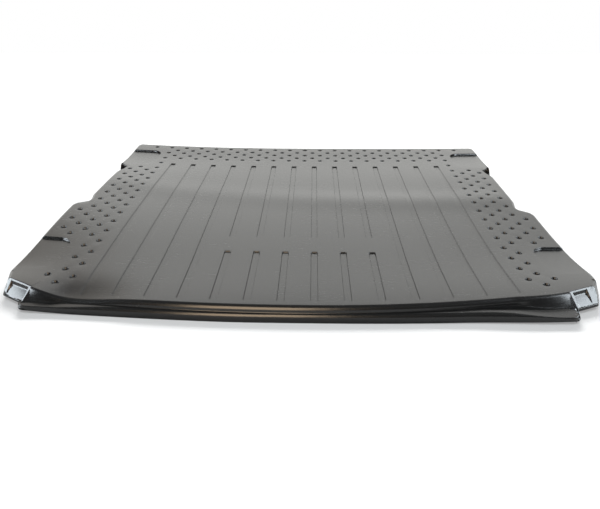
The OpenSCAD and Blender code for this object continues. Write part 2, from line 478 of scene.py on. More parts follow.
@dataclass
class Plan:
    """Plan sizes of the sheet: its outlines, lip and corners.

    Attributes:
        length: Length of the panel on the centre line.
        waist_half: Half the width at the waist.
        rear_half: Half the width of the rear stretch.
        front_half: Half the width of the front stretch.
        waist_start: Plan y of the waist's front end.
        waist_end: Plan y of the waist's rear end.
        front_bend: Radius of the bends in front of the waist.
        rear_bend: Radius of the bends behind the waist.
        corner_radius: Radius of the rear corners.
        bow_radius: Radius of the front edge's bow.
        bow_lead: How far the foot of the front wall lies in front of the panel's edge.
        left: The left front corner.
        right: The right front corner.
        lip_reach: How far the lip stands in front of the panel.
        lip_front: Plan y of the lip's foot at the middle, where the bent sheet has drawn it.
        lip_corner: Radius of the lip's ends.
        lip_turn_left: Distance left of the middle at which the lip's foot begins to turn.
        lip_turn_right: The same distance to the right.
        toe_bend: Radius of the outline where a corner's toe meets the lip's end.
        corner_bend: Radius of the outline at the toe's outer end.
        shoulder_bend: Radius of the outline where the side turns into the corner.
    """

    length: float = 0.850
    waist_half: float = 0.488
    rear_half: float = 0.500
    front_half: float = 0.510
    waist_start: float = 0.445
    waist_end: float = 0.590
    front_bend: float = 0.095
    rear_bend: float = 0.150
    corner_radius: float = 0.018
    bow_radius: float = 3.400
    bow_lead: float = 0.008
    left: FrontCorner = field(default_factory=lambda: LEFT_CORNER)
    right: FrontCorner = field(default_factory=lambda: RIGHT_CORNER)
    lip_reach: float = 0.013
    lip_front: float = -0.0118
    lip_corner: float = 0.012
    lip_turn_left: float = 0.06
    lip_turn_right: float = 0.26
    toe_bend: float = 0.0015
    corner_bend: float = 0.008
    shoulder_bend: float = 0.030

    def corners(self) -> tuple[tuple[float, FrontCorner], tuple[float, FrontCorner]]:
        """Gives both front corners, each with the sign of its side."""
        return (1.0, self.right), (-1.0, self.left)

    def bow(self, x: Array | float) -> Array | float:
        """Gives how far the front edge falls back at a distance from the centre line."""
        return self.bow_radius - np.sqrt(self.bow_radius ** 2 - np.square(x))

    def lip_line(self, x: Array) -> Array:
        """Gives the lip's foot line, which the bent sheet draws back on the left.

        Args:
            x: Plan x of the places.

        Returns:
            Their plan y.
        """
        right = smooth_step((x - self.lip_turn_right) / (self.right.lip_end[0] - self.lip_turn_right))
        left = smooth_step((-x - self.lip_turn_left) / (self.left.lip_end[0] - self.lip_turn_left))
        ahead = (self.right.lip_end[1] - self.lip_front) * right
        back = (self.left.lip_end[1] - self.lip_front) * left
        return self.lip_front + ahead + back

    def bends(self) -> tuple[tuple[float, float], tuple[float, float]]:
        """Gives where the side's two S bends lie.

        Returns:
            For each bend, the plan y of its middle and half the run of its slanted line along y.
        """
        places = []
        for step, base, radius in (
            (self.front_half - self.waist_half, self.waist_start, -self.front_bend),
            (self.rear_half - self.waist_half, self.waist_end, self.rear_bend),
        ):
            turn = math.acos(1.0 - step / (2.0 * abs(radius)))
            middle = base + radius * math.sin(turn)
            places.append((middle, step / 2.0 / math.tan(turn)))
        return places[0], places[1]

    def side(self, corner: FrontCorner) -> list[tuple[float, float, float]]:
        """Gives the outline's corners from a front corner's toe to the rear, as if on the right.

        Args:
            corner: The front corner.

        Returns:
            Each corner's x, y and radius.
        """
        (front, front_half), (rear, rear_half) = self.bends()
        return [
            (*corner.toe_start, self.toe_bend),
            (*corner.toe_end, self.corner_bend),
            (self.front_half, corner.shoulder, self.shoulder_bend),
            (self.front_half, front - front_half, self.front_bend),
            (self.waist_half, front + front_half, self.front_bend),
            (self.waist_half, rear - rear_half, self.rear_bend),
            (self.rear_half, rear + rear_half, self.rear_bend),
            (self.rear_half, self.length, self.corner_radius),
        ]


@dataclass
class Grooves:
    """The straight grooves pressed into the panel.

    Attributes:
        count: Number of grooves.
        pitch: Distance between grooves.
        width: Width at the panel.
        depth: Depth.
        wall: Width of a groove's sloping wall.
        end: Radius of a groove's ends.
        front_gap: Distance of the front ends behind the bowed edge.
        fade: Length over which the front ends run out.
        rear: Plan y of the rear ends.
        band: Front and rear plan y of the plain band.
        band_count: Number of middle grooves that stop for the band.
    """

    count: int = 14
    pitch: float = 0.055
    width: float = 0.014
    depth: float = 0.0023
    wall: float = 0.0020
    end: float = 0.003
    front_gap: float = 0.012
    fade: float = 0.0004
    rear: float = 0.688
    band: tuple[float, float] = (0.190, 0.250)
    band_count: int = 6

    def stretches(self, plan: Plan) -> list[tuple[float, float, float]]:
        """Gives the stretches that the grooves are made of.

        Args:
            plan: The sheet's plan sizes.

        Returns:
            Each stretch's x and the y of its two ends.
        """
        found = []
        for k in range(self.count):
            x = (k - (self.count - 1) / 2.0) * self.pitch
            front = float(plan.bow(x)) + self.front_gap
            if abs(x) < self.band_count / 2.0 * self.pitch:
                found.append((x, front, self.band[0]))
                found.append((x, self.band[1], self.rear))
            else:
                found.append((x, front, self.rear))
        return found


@dataclass
class Studs:
    """The round studs pressed into the rear and side bands, on a staggered lattice.

    Attributes:
        across: Half the distance between studs in a row.
        along: Distance between rows.
        mouth: Radius at the panel.
        end: Radius of the flat end.
        depth: Depth.
        last_row: Plan y of the last row.
        rows: Rows that run right across.
        first_column: First column of the side bands.
        side_gap: Distance of the outer studs from the foot of the side rims.
        front: Plan y that no stud lies in front of.
        narrow: Plan y between which the studs keep to the waist's width.
        clearance: Least flat between a stud and a pocket.
        sides: Number of sides of a stud.
        bands: Number of steps down a stud's wall.
    """

    across: float = 0.02178
    along: float = 0.02188
    mouth: float = 0.0062
    end: float = 0.0046
    depth: float = 0.0030
    last_row: float = 0.822
    rows: int = 5
    first_column: int = 18
    side_gap: float = 0.025
    front: float = 0.050
    narrow: tuple[float, float] = (0.3748, 0.6485)
    clearance: float = 0.0125
    sides: int = 12
    bands: int = 4

    def places(self, plan: Plan, pockets: Sequence[Pocket]) -> Array:
        """Gives the plan places of all studs.

        Args:
            plan: The sheet's plan sizes.
            pockets: The right side's pockets, which the studs keep clear of.

        Returns:
            The places, one a row.
        """
        found = []
        columns = math.floor((plan.front_half - self.side_gap) / self.across)
        lines = math.floor((self.last_row - self.front) / self.along)
        for row in range(lines + 1):
            y = self.last_row - row * self.along
            side = plan.waist_half
            if y < self.narrow[0]:
                side = plan.front_half
            elif y > self.narrow[1]:
                side = plan.rear_half
            for column in range(-columns, columns + 1):
                x = column * self.across
                if (row + column) % 2 or abs(x) > side - self.side_gap:
                    continue
                if row >= self.rows and abs(column) < self.first_column:
                    continue
                if y < pockets[0].start and abs(x) > pockets[0].inner:
                    continue
                if all(pocket.clear(abs(x), y, self.clearance) for pocket in pockets):
                    found.append((x, y))
        return np.array(found)


@dataclass(frozen=True)
class Pocket:
    """One corner pocket on the right, open to the side.

    Attributes:
        inner: Plan x of its inner side.
        start: Plan y of its front side.
        length: Length along the side.
        corner: Radius of its inner corners.
        depth: Depth at its rear side.
        rise: How much shallower its front side is.
        wall: Width of its sloping wall in plan.
    """

    inner: float
    start: float
    length: float = 0.116
    corner: float = 0.025
    depth: float = 0.0050
    rise: float = 0.0014
    wall: float = 0.0025

    def clear(self, x: float, y: float, gap: float) -> bool:
        """Tells whether a place keeps a gap to the pocket."""
        return x < self.inner - gap or y < self.start - gap or y > self.start + self.length + gap

    def inside(self, x: Array, y: Array) -> Array:
        """Measures how far inside the pocket's three sides some places are, with round inner corners.

        Args:
            x: Distance of the places from the centre line.
            y: Their plan y.

        Returns:
            The distance at each place, below zero outside.
        """
        across = x - self.inner
        along = np.minimum(y - self.start, self.start + self.length - y)
        return inside_corner(across, along, self.corner)

    def rim(self, distance: float, outer: float, spacing: float) -> Array:
        """Gives the line at a distance inside the pocket's sides, from the side rim round to it again.

        Args:
            distance: Distance inside the sides.
            outer: Plan x that the line starts and ends at.
            spacing: Distance between its points.

        Returns:
            The line's points, one a row.
        """
        front = self.start + distance
        rear = self.start + self.length - distance
        side = self.inner + distance
        radius = self.corner - distance
        arc_points = 9
        turn = np.linspace(0.0, math.pi / 2.0, arc_points)[:, None]
        sine, cosine = np.sin(turn), np.cos(turn)
        centre_front = np.array([side + radius, front + radius])
        centre_rear = np.array([side + radius, rear - radius])
        front_arc = centre_front - radius * np.concatenate([sine, cosine], 1)
        rear_arc = centre_rear + radius * np.concatenate([-cosine, sine], 1)
        return np.concatenate([
            spread(np.array([outer, front]), front_arc[0], spacing),
            front_arc[:-1],
            spread(front_arc[-1], rear_arc[0], spacing),
            rear_arc[:-1],
            spread(rear_arc[-1], np.array([outer, rear]), spacing),
            np.array([[outer, rear]]),
        ])


@dataclass(frozen=True)
class FrontCorner:
    """The scooped slope at one front corner, beside the lip's end, drawn as if on the right.

    Attributes:
        facet_start: Plan x where the bow turns into the facet.
        facet_end: Plan place of the facet's outer end.
        rim_start: Plan place of the slope's top edge at the lip's end.
        rim_end: Plan place of the top edge's outer end.
        toe_start: Plan place where the slope's toe meets the lip's end.
        toe_end: Plan place of the toe's outer end.
        shoulder: Plan y where the side's foot line turns into the corner.
        lip_end: Plan place of the lip's end.
        ledge_fall: How far the lip's ledge falls towards its end.
        ledge_start: Distance from the centre line at which it begins to fall.
        ledge_run: Distance over which it falls.
        slope: Fall of the slope for each unit forwards.
        toe_height: Least height of the slope.
        ridge: Width of the ridges beside the scoop.
        back: Distance from the top edge to the scoop's back.
        scoop_drop: Depth of the scoop's floor below the slope.
        scoop_floor: Height of the scoop's floor at the front.
        scoop_run: Distance from the top edge to the scoop's front.
        scoop_power: How fast the scoop's floor comes up to its front.
        side_wall: Width of the scoop's walls in plan.
        edge_blend: Difference in height over which the slope is rounded into the rim.
        step: Width of the step between the lip's ledge and the slope.
        grid: Distance between points of the fine grid there.
    """

    facet_start: float
    facet_end: tuple[float, float]
    rim_start: tuple[float, float]
    rim_end: tuple[float, float]
    toe_start: tuple[float, float]
    toe_end: tuple[float, float]
    shoulder: float
    lip_end: tuple[float, float]
    ledge_fall: float
    ledge_start: float
    ledge_run: float
    slope: float = 0.95
    toe_height: float = 0.0045
    ridge: float = 0.0050
    back: float = 0.0010
    scoop_drop: float = 0.0075
    scoop_floor: float = 0.0030
    scoop_run: float = 0.0230
    scoop_power: float = 1.3
    side_wall: float = 0.0032
    edge_blend: float = 0.0012
    step: float = 0.0014
    grid: float = 0.0017

    @property
    def length(self) -> float:
        """Length of the slope's top edge."""
        return math.dist(self.rim_start, self.rim_end)

    def local(self, x: Array, y: Array) -> tuple[Array, Array]:
        """Measures places from the slope's top edge.

        Args:
            x: Distance of the places from the centre line.
            y: Their plan y.

        Returns:
            The distance along the top edge from the lip's end, and the distance forwards of it.
        """
        across = (self.rim_end[0] - self.rim_start[0]) / self.length
        back = (self.rim_end[1] - self.rim_start[1]) / self.length
        along = (x - self.rim_start[0]) * across + (y - self.rim_start[1]) * back
        forwards = (x - self.rim_start[0]) * back - (y - self.rim_start[1]) * across
        return along, forwards

    def line(self, corners: Sequence[tuple[float, float]], spacing: float = 0.002) -> Array:
        """Gives a line on the slope.

        Args:
            corners: Its corners, stated along and forwards of the top edge.
            spacing: Greatest distance between its points.

        Returns:
            The line's points, one a row.
        """
        start = np.array(self.rim_start)
        along = (np.array(self.rim_end) - start) / self.length
        ahead = np.array([along[1], -along[0]])
        ends = [start + far * along + forwards * ahead for far, forwards in corners]
        parts = [spread(one, other, spacing) for one, other in zip(ends, ends[1:])]
        return np.concatenate(parts + [ends[-1][None]])

    def lines(self, inset: float) -> list[Array]:
        """Gives the lines that follow the step, the top edge and the scoop's walls.

        Args:
            inset: Distance that the skin is set in.

        Returns:
            The points of each line.
        """
        past = 0.004
        behind = -0.003
        run = self.scoop_run + past
        found = []
        for share in (-0.5, -0.2, 0.2, 0.5):
            side = share * self.step - inset
            found.append(self.line([(side, behind), (side, run)]))
        for ahead in (behind / 2.0, 0.0):
            found.append(self.line([(self.step, ahead), (self.length + past, ahead)]))
        for share in (0.0, 0.33, 0.67, 1.0):
            near = self.ridge + share * self.side_wall - inset
            far = self.length - near
            back = self.back + share * self.side_wall - inset
            found.append(self.line([(near, run), (near, back), (far, back), (far, run)]))
        return found

    def shape(self, beside: Array, block: Array, x: Array, y: Array, panel: float, inset: float) -> Array:
        """Cuts the slope and the scoop, which stand beside the lip's end.

        Args:
            beside: Heights of the panel's front and the lip.
            block: Heights of the corner before the slope is cut.
            x: Distance from the centre line.
            y: Plan y.
            panel: Height of the panel.
            inset: Distance that the skin is set in.

        Returns:
            The heights.
        """
        along, forwards = self.local(x, y)
        cut = panel - inset * math.hypot(1.0, self.slope) - self.slope * forwards
        cut = np.maximum(cut, self.toe_height - inset)
        sloped = soft_min(block, cut, self.edge_blend)
        left_over = np.clip(1.0 - forwards / self.scoop_run, 0.0, 1.0)
        floor = np.maximum(cut - self.scoop_drop * left_over ** self.scoop_power, self.scoop_floor - inset)
        edge = np.minimum(along - self.ridge, self.length - self.ridge - along)
        edge = np.minimum(edge, forwards - self.back) + inset
        opened = smooth_step(edge / self.side_wall)
        scooped = sloped + (np.minimum(floor, sloped) - sloped) * opened
        past_step = smooth_step((along + inset) / self.step + 0.5)
        return beside + (scooped - beside) * past_step


RIGHT_CORNER = FrontCorner(
    facet_start=0.352,
    facet_end=(0.4385, -0.0030),
    rim_start=(0.4400, 0.0285),
    rim_end=(0.4770, 0.0417),
    toe_start=(0.4515, 0.0065),
    toe_end=(0.4890, 0.0190),
    shoulder=0.064,
    lip_end=(0.4445, -0.0200),
    ledge_fall=0.0090,
    ledge_start=0.30,
    ledge_run=0.14,
)
LEFT_CORNER = FrontCorner(
    facet_start=0.392,
    facet_end=(0.4425, 0.0050),
    rim_start=(0.4440, 0.0360),
    rim_end=(0.4910, 0.0575),
    toe_start=(0.4640, 0.0215),
    toe_end=(0.5020, 0.0410),
    shoulder=0.082,
    lip_end=(0.4580, 0.0025),
    ledge_fall=0.0080,
    ledge_start=0.27,
    ledge_run=0.19,
    slope=1.12,
)


@dataclass
class LinerSheet:
    """The one formed sheet, with its outer and inner skins and the closed foot of its rim.

    Attributes:
        front: Frame y of the panel's front edge.
        plan: Plan sizes.
        lie: How the sheet lies.
        grooves: The grooves.
        studs: The studs.
        pockets: The front and the rear pocket on the right.
        wall: Thickness of the sheet.
        panel: Height of the panel.
        ledge: Height of the lip's ledge.
        rim_bend: Radius of the bend from the rim into the panel.
        lip_bend: Radius of the bend from the lip's front into the ledge.
        ledge_blend: Difference in height over which that bend is rounded into the falling ledge.
        lip_blend: Difference in height over which panel and lip are rounded into each other.
        rim_lean: Lean of the rim.
        front_lean: Lean of the wall between panel and ledge.
        facet_lean: Lean of that wall at the facets' outer ends.
        corner_lean: Lean of the rim's wall at the front corners.
        corner_middle: Plan y at which that lean is greatest.
        corner_reach: Distance over which it runs out.
        bend_lean: Lean of the rim's wall at the bends beside the waist.
        bend_reach: Distance over which that lean runs out.
        facet_past: Distance that the facets' foot lines run on under the corners' slopes.
        front_rear: Plan y that the points on the front lie in front of.
        dent: The dent in the panel's front edge.
        curl_shade: How much stronger the lie is in the shading than in the shape.
        groove_grow: Share of a skin's inset by which the grooves are wider there.
        stud_grow: Share of a skin's inset by which the studs are wider there.
        flat_half: Distance from the centre line within which no rim is near.
        flat_front: Plan y behind which the front and its corners are not near.
        flat_rear: Plan y in front of which the rear rim is not near.
        lip_rear: Plan y behind which the lip is not near.
        corner_inner: Distance from the centre line past which a corner is near.
        spacing: Distance between points on straight edges.
        arc_spacing: Distance between points on round edges.
        filler: Distance between points on the plain panel.
    """

    front: float
    plan: Plan = field(default_factory=Plan)
    lie: Lie = field(default_factory=Lie)
    grooves: Grooves = field(default_factory=Grooves)
    studs: Studs = field(default_factory=Studs)
    pockets: tuple[Pocket, Pocket] = (Pocket(0.442, 0.096), Pocket(0.413, 0.676))
    wall: float = 0.003
    panel: float = 0.026
    ledge: float = 0.016
    rim_bend: float = 0.0085
    lip_bend: float = 0.008
    ledge_blend: float = 0.003
    lip_blend: float = 0.0020
    rim_lean: float = math.radians(8.0)
    front_lean: float = math.radians(9.0)
    facet_lean: float = math.radians(50.0)
    corner_lean: float = math.radians(25.0)
    corner_middle: float = 0.045
    corner_reach: float = 0.055
    bend_lean: float = math.radians(42.0)
    bend_reach: float = 0.040
    facet_past: float = 0.028
    front_rear: float = 0.1
    dent: Dent = field(default_factory=Dent)
    curl_shade: float = 1.5
    groove_grow: float = 0.7
    stud_grow: float = 0.55
    flat_half: float = 0.400
    flat_front: float = 0.110
    flat_rear: float = 0.780
    lip_rear: float = 0.070
    corner_inner: float = 0.425
    spacing: float = 0.011
    arc_spacing: float = 0.0045
    filler: float = 0.0125

    def __post_init__(self) -> None:
        """Works out the wall sections, the outlines and the studs' places."""
        self.rim_edge = Edge(self.panel, self.rim_bend)
        self.lip_edge = Edge(self.ledge, self.lip_bend)
        self.body = self.body_outline()
        self.lip = self.lip_outline()
        self.footprint = self.footprint_outline()
        self.stud_places = self.studs.places(self.plan, self.pockets)
        self.stud_tree = nearest_tree(self.stud_places)

    def lean_at(self, points: Array, in_front: Array) -> Array:
        """Gives the lean of the wall on the body's foot line.

        Args:
            points: Points of the line.
            in_front: Which points lie on the front, between the corners' slopes.

        Returns:
            The lean at each point.
        """
        lean = np.full(len(points), self.rim_lean)
        for middle, _ in self.plan.bends():
            near = smooth_step(1.0 - np.abs(points[:, 1] - middle) / self.bend_reach)
            lean += (self.bend_lean - self.rim_lean) * near
        near = smooth_step(1.0 - np.abs(points[:, 1] - self.corner_middle) / self.corner_reach)
        lean += (self.corner_lean - self.rim_lean) * near
        left, right = self.plan.left, self.plan.right
        start = np.where(points[:, 0] < 0.0, left.facet_start, right.facet_start)
        end = np.where(points[:, 0] < 0.0, left.facet_end[0], right.facet_end[0])
        turn = np.clip((np.abs(points[:, 0]) - start) / (end - start), 0.0, 1.0)
        front = self.front_lean + (self.facet_lean - self.front_lean) * turn
        return np.where(in_front, front, lean)

    def ledge_at(self, x: Array) -> Array:
        """Gives the height of the lip's ledge, which falls towards both ends.

        Args:
            x: Plan x of the places.

        Returns:
            The height at each place.
        """
        height = np.full(len(x), self.ledge)
        for sign, corner in self.plan.corners():
            height -= corner.ledge_fall * smooth_step((sign * x - corner.ledge_start) / corner.ledge_run)
        return height

    def in_front(self, points: Array, left: float, right: float) -> Array:
        """Tells which points of a foot line lie on the front.

        Args:
            points: Points of the line.
            left: How far the front reaches to the left of the centre line.
            right: How far it reaches to the right.

        Returns:
            True for each point on the front.
        """
        reach = np.where(points[:, 0] < 0.0, left, right)
        return (np.abs(points[:, 0]) < reach) & (points[:, 1] < self.front_rear)

    def sides(self) -> list[tuple[float, float, float]]:
        """Gives the corners of the right side and then of the left side, anticlockwise."""
        left = [(-x, y, radius) for x, y, radius in reversed(self.plan.side(self.plan.left))]
        return self.plan.side(self.plan.right) + left

    def body_outline(self) -> Outline:
        """Gives the foot line of the panel's walls, with the facets run on under the corners' slopes.

        Returns:
            The outline.
        """
        plan = self.plan
        count = 33
        xs = np.linspace(-plan.left.facet_start, plan.right.facet_start, count)
        bow = [(float(x), float(plan.bow(x)) - plan.bow_lead, 0.0) for x in xs]
        ends = []
        for corner in (plan.right, plan.left):
            start = float(plan.bow(corner.facet_start)) - plan.bow_lead
            fall = (corner.facet_end[1] - start) / (corner.facet_end[0] - corner.facet_start)
            ends.append((corner.facet_end[0] + self.facet_past, corner.facet_end[1] + self.facet_past * fall))
        right = (*ends[0], 0.0)
        left = (-ends[1][0], ends[1][1], 0.0)
        sides = self.sides()[1:-1]
        points = rounded_path(bow + [right] + sides + [left], self.spacing, self.arc_spacing)
        margin = 1e-4
        in_front = self.in_front(points, ends[1][0] + margin, ends[0][0] + margin)
        return Outline(points, self.lean_at(points, in_front))

    def lip_corners(self) -> list[tuple[float, float, float]]:
        """Gives the corners of the lip's foot line from its left end to its right end.

        Returns:
            Each corner's x, y and radius.
        """
        plan = self.plan
        count = 49
        xs = np.linspace(-plan.left.lip_end[0], plan.right.lip_end[0], count)
        corners = [(float(x), float(plan.lip_line(x)), 0.0) for x in xs[1:-1]]
        left = (-plan.left.lip_end[0], plan.left.lip_end[1], plan.lip_corner)
        return [left] + corners + [(*plan.right.lip_end, plan.lip_corner)]

    def lip_outline(self) -> Outline:
        """Gives the foot line of the loading lip, which reaches back under the panel.

        Returns:
            The outline.
        """
        back, arc_spacing = 0.060, 0.0025
        behind = [(self.plan.right.lip_end[0], back, 0.0), (-self.plan.left.lip_end[0], back, 0.0)]
        points = rounded_path(self.lip_corners() + behind, self.spacing, arc_spacing)
        return Outline(points, np.full(len(points), self.rim_lean))

    def footprint_outline(self) -> Outline:
        """Gives the foot line of the whole sheet, round the lip and the body.

        Returns:
            The outline.
        """
        points = rounded_path(self.lip_corners() + self.sides(), self.spacing, self.arc_spacing)
        margin = 1e-4
        left, right = (corner.toe_start[0] - margin for corner in (self.plan.left, self.plan.right))
        in_front = self.in_front(points, left, right)
        lean = np.where(in_front, self.rim_lean, self.lean_at(points, in_front))
        return Outline(points, lean)

    def height(self, places: Array, inset: float) -> Array:
        """Gives the height of a skin, before the sheet's lie.

        Args:
            places: Plan places, one a row.
            inset: Distance that the skin is set in: zero outside, the thickness inside.

        Returns:
            The heights.
        """
        x, y = places[:, 0], places[:, 1]
        side = np.abs(x)
        near = (side > self.flat_half) | (y < self.flat_front) | (y > self.flat_rear)
        depth = np.full(len(places), 1.0)
        lean = np.full(len(places), self.rim_lean)
        depth[near], lean[near] = self.body.depth(places[near])
        height = self.rim_edge.height(depth, lean, inset)
        height -= self.dent.drop(x, y) * np.clip((height + inset) / self.panel, 0.0, 1.0)
        ahead = y < self.lip_rear
        lip = np.full(len(places), -1.0)
        lip_depth, lip_lean = self.lip.depth(places[ahead])
        lip[ahead] = self.lip_edge.height(lip_depth, lip_lean, inset)
        lip[ahead] = soft_min(lip[ahead], self.ledge_at(x[ahead]) - inset, self.ledge_blend)
        height = soft_max(height, lip, self.lip_blend)
        for sign, corner in self.plan.corners():
            here = (x * sign > self.corner_inner) & (y < self.flat_front)
            if not here.any():
                continue
            depth, lean = self.footprint.depth(places[here])
            block = self.rim_edge.height(depth, lean, inset)
            height[here] = corner.shape(height[here], block, side[here], y[here], self.panel, inset)
        for pocket in self.pockets:
            inside = pocket.inside(side, y) + inset
            share = np.clip((y - pocket.start) / pocket.length, 0.0, 1.0)
            drop = pocket.depth - pocket.rise * (1.0 - share)
            floor = self.panel - inset - drop * smooth_step(inside / pocket.wall)
            height = np.where(inside > 0.0, np.minimum(height, floor), height)
        return height - self.pressed(places, inset)

    def pressed(self, places: Array, inset: float) -> Array:
        """Gives the depth of the grooves and studs.

        Args:
            places: Plan places, one a row.
            inset: Distance that the skin is set in.

        Returns:
            The depth at each place.
        """
        x, y = places[:, 0], places[:, 1]
        sunk = np.zeros(len(places))
        grow = inset * self.groove_grow
        for centre, start, end in self.grooves.stretches(self.plan):
            near = np.abs(x - centre) < self.grooves.width
            across = self.grooves.width / 2.0 + grow - np.abs(x[near] - centre)
            along = np.minimum(y[near] - start, end - y[near]) + grow
            inside = inside_corner(across, along, self.grooves.end)
            runs_out = smooth_step((y[near] - start + grow) / self.grooves.fade)
            deep = self.grooves.depth * runs_out * smooth_step(inside / self.grooves.wall)
            sunk[near] = np.maximum(sunk[near], deep)
        mouth, end = self.stud_radii(inset)
        band_inner, band_front = 0.37, 0.71
        for k in np.flatnonzero((np.abs(x) > band_inner) | (y > band_front)):
            _, _, distance = self.stud_tree.find((x[k], y[k], 0.0))
            if distance < mouth:
                share = (mouth - distance) / (mouth - end)
                sunk[k] = self.studs.depth * float(smooth_step(np.array(share)))
        return sunk

    def stud_radii(self, inset: float) -> tuple[float, float]:
        """Gives a stud's radius at the panel and at its end on a skin."""
        grow = inset * self.stud_grow
        return self.studs.mouth + grow, self.studs.end + grow

    def groove_rings(self, inset: float) -> list[tuple[Array, bool]]:
        """Gives the closed lines that follow the grooves' walls.

        Args:
            inset: Distance that the skin is set in.

        Returns:
            Each line's points, and that it is closed.
        """
        rings = []
        grow = inset * self.groove_grow
        least_radius = 0.0008
        spacing, arc_spacing = 0.024, 0.0022
        for centre, start, end in self.grooves.stretches(self.plan):
            for share in (0.0, 0.25, 0.5, 0.75, 1.0):
                off = grow - share * self.grooves.wall
                half = self.grooves.width / 2.0 + off
                radius = max(self.grooves.end + off, least_radius)
                corners = [
                    (centre - half, start - off, radius),
                    (centre + half, start - off, radius),
                    (centre + half, end + off, radius),
                    (centre - half, end + off, radius),
                ]
                rings.append((rounded_path(corners, spacing, arc_spacing), True))
        return rings

    def toe_lines(self, sign: float, corner: FrontCorner, inset: float) -> list[Array]:
        """Gives the lines that follow the toe of a corner's slope.

        Args:
            sign: 1 for the right corner and -1 for the left one.
            corner: The corner.
            inset: Distance that the skin is set in.

        Returns:
            The lines, from the lowest.
        """
        x, y = self.footprint.points[:, 0] * sign, self.footprint.points[:, 1]
        margin, past_end, spacing = 0.001, 0.006, 0.002
        lowest, above = 0.0028, 0.0015
        at_toe = (x > corner.toe_start[0] - margin) & (y > corner.toe_start[1] - margin)
        at_toe &= y < corner.toe_end[1] + past_end
        found = []
        for height in (lowest, corner.toe_height, corner.toe_height + above):
            ring = self.footprint.inset(Edge.wall_depth(self.footprint.lean, inset, height))[at_toe]
            parts = [spread(one, other, spacing) for one, other in zip(ring, ring[1:])]
            found.append(np.concatenate(parts + [ring[-1:]]))
        return found

    def breaklines(self, skin: Skin) -> list[tuple[Array, bool]]:
        """Gives all lines that the skin's edges follow.

        Args:
            skin: Which face of the sheet.

        Returns:
            Each line's points and whether it is closed.
        """
        inset = self.inset(skin)
        rim_heights = (0.004, 0.010, 0.014, 0.0155, 0.017)
        lip_heights = (0.004, 0.008)
        rim_steps, lip_steps = 6, 5
        lines: list[tuple[Array, bool]] = []
        for depth in self.rim_edge.depths(self.body.lean, inset, rim_heights, rim_steps):
            lines.append((self.body.inset(depth), True))
        toe = np.where(self.lip.points[:, 0] < 0.0, self.plan.left.toe_start[1], self.plan.right.toe_start[1])
        keep = self.lip.points[:, 1] < toe
        for depth in self.lip_edge.depths(self.lip.lean, inset, lip_heights, lip_steps):
            ring = self.lip.inset(depth)[keep]
            turn = int(np.argmax(np.linalg.norm(np.diff(ring, axis=0), axis=1))) + 1
            lines.append((np.roll(ring, -turn, 0), False))
        lines += self.groove_rings(inset)
        for sign, corner in self.plan.corners():
            lines += [(line * np.array([sign, 1.0]), False) for line in corner.lines(inset)]
            lines += [(line, False) for line in self.toe_lines(sign, corner, inset)]
        side_gap, pocket_spacing = 0.002, 0.008
        for pocket in self.pockets:
            outer = self.plan.front_half if pocket.start < self.plan.waist_start else self.plan.rear_half
            for share in (0.0, 0.2, 0.4, 0.6, 0.8, 1.0):
                line = pocket.rim(share * pocket.wall - inset, outer - inset - side_gap, pocket_spacing)
                lines.append((line, False))
                lines.append((line * np.array([-1.0, 1.0]), False))
        turn = 2.0 * math.pi * np.arange(self.studs.sides) / self.studs.sides
        circle = self.stud_radii(inset)[0] * np.stack([np.cos(turn), np.sin(turn)], 1)
        lines += [(place + circle, True) for place in self.stud_places]
        return lines

    def inset(self, skin: Skin) -> float:
        """Gives how far a skin is set in from the outside."""
        return 0.0 if skin is Skin.OUTER else self.wall

    def fillers(self, lines: Sequence[tuple[Array, bool]], boundary: Outline, mouth: float) -> Array:
        """Gives points of a plain grid, and of fine ones at the front corners, clear of the lines.

        Args:
            lines: The lines that the skin's edges follow.
            boundary: The skin's own foot line.
            mouth: Radius of a stud at this skin.

        Returns:
            The points, one a row.
        """
        plan, fine = self.plan, self.plan.right.grid
        xs = np.arange(-plan.front_half, plan.front_half, self.filler)
        ys = np.arange(-plan.lip_reach, plan.length, self.filler)
        coarse = lattice(xs, ys)
        coarse_gap, fine_gap = self.filler * 0.55, fine * 0.6
        inner, rear, margin = 0.437, 0.095, 0.001
        xs = np.arange(inner, plan.front_half, fine)
        ys = np.arange(plan.right.lip_end[1], rear, fine)
        right = lattice(xs, ys)
        detailed = np.concatenate([right, right * np.array([-1.0, 1.0])])
        taken = nearest_tree(np.concatenate([line for line, _ in lines] + [boundary.points]))
        kept = []
        for points, gap in ((coarse, coarse_gap), (detailed, fine_gap)):
            inside, _ = boundary.depth(points)
            for (x, y), depth in zip(points, inside):
                at_corner = abs(x) > inner - margin and y < rear + margin
                if depth < gap or (points is coarse and at_corner):
                    continue
                place = (x, y, 0.0)
                if taken.find(place)[2] > gap and self.stud_tree.find(place)[2] > mouth + margin:
                    kept.append((x, y))
        return np.array(kept)

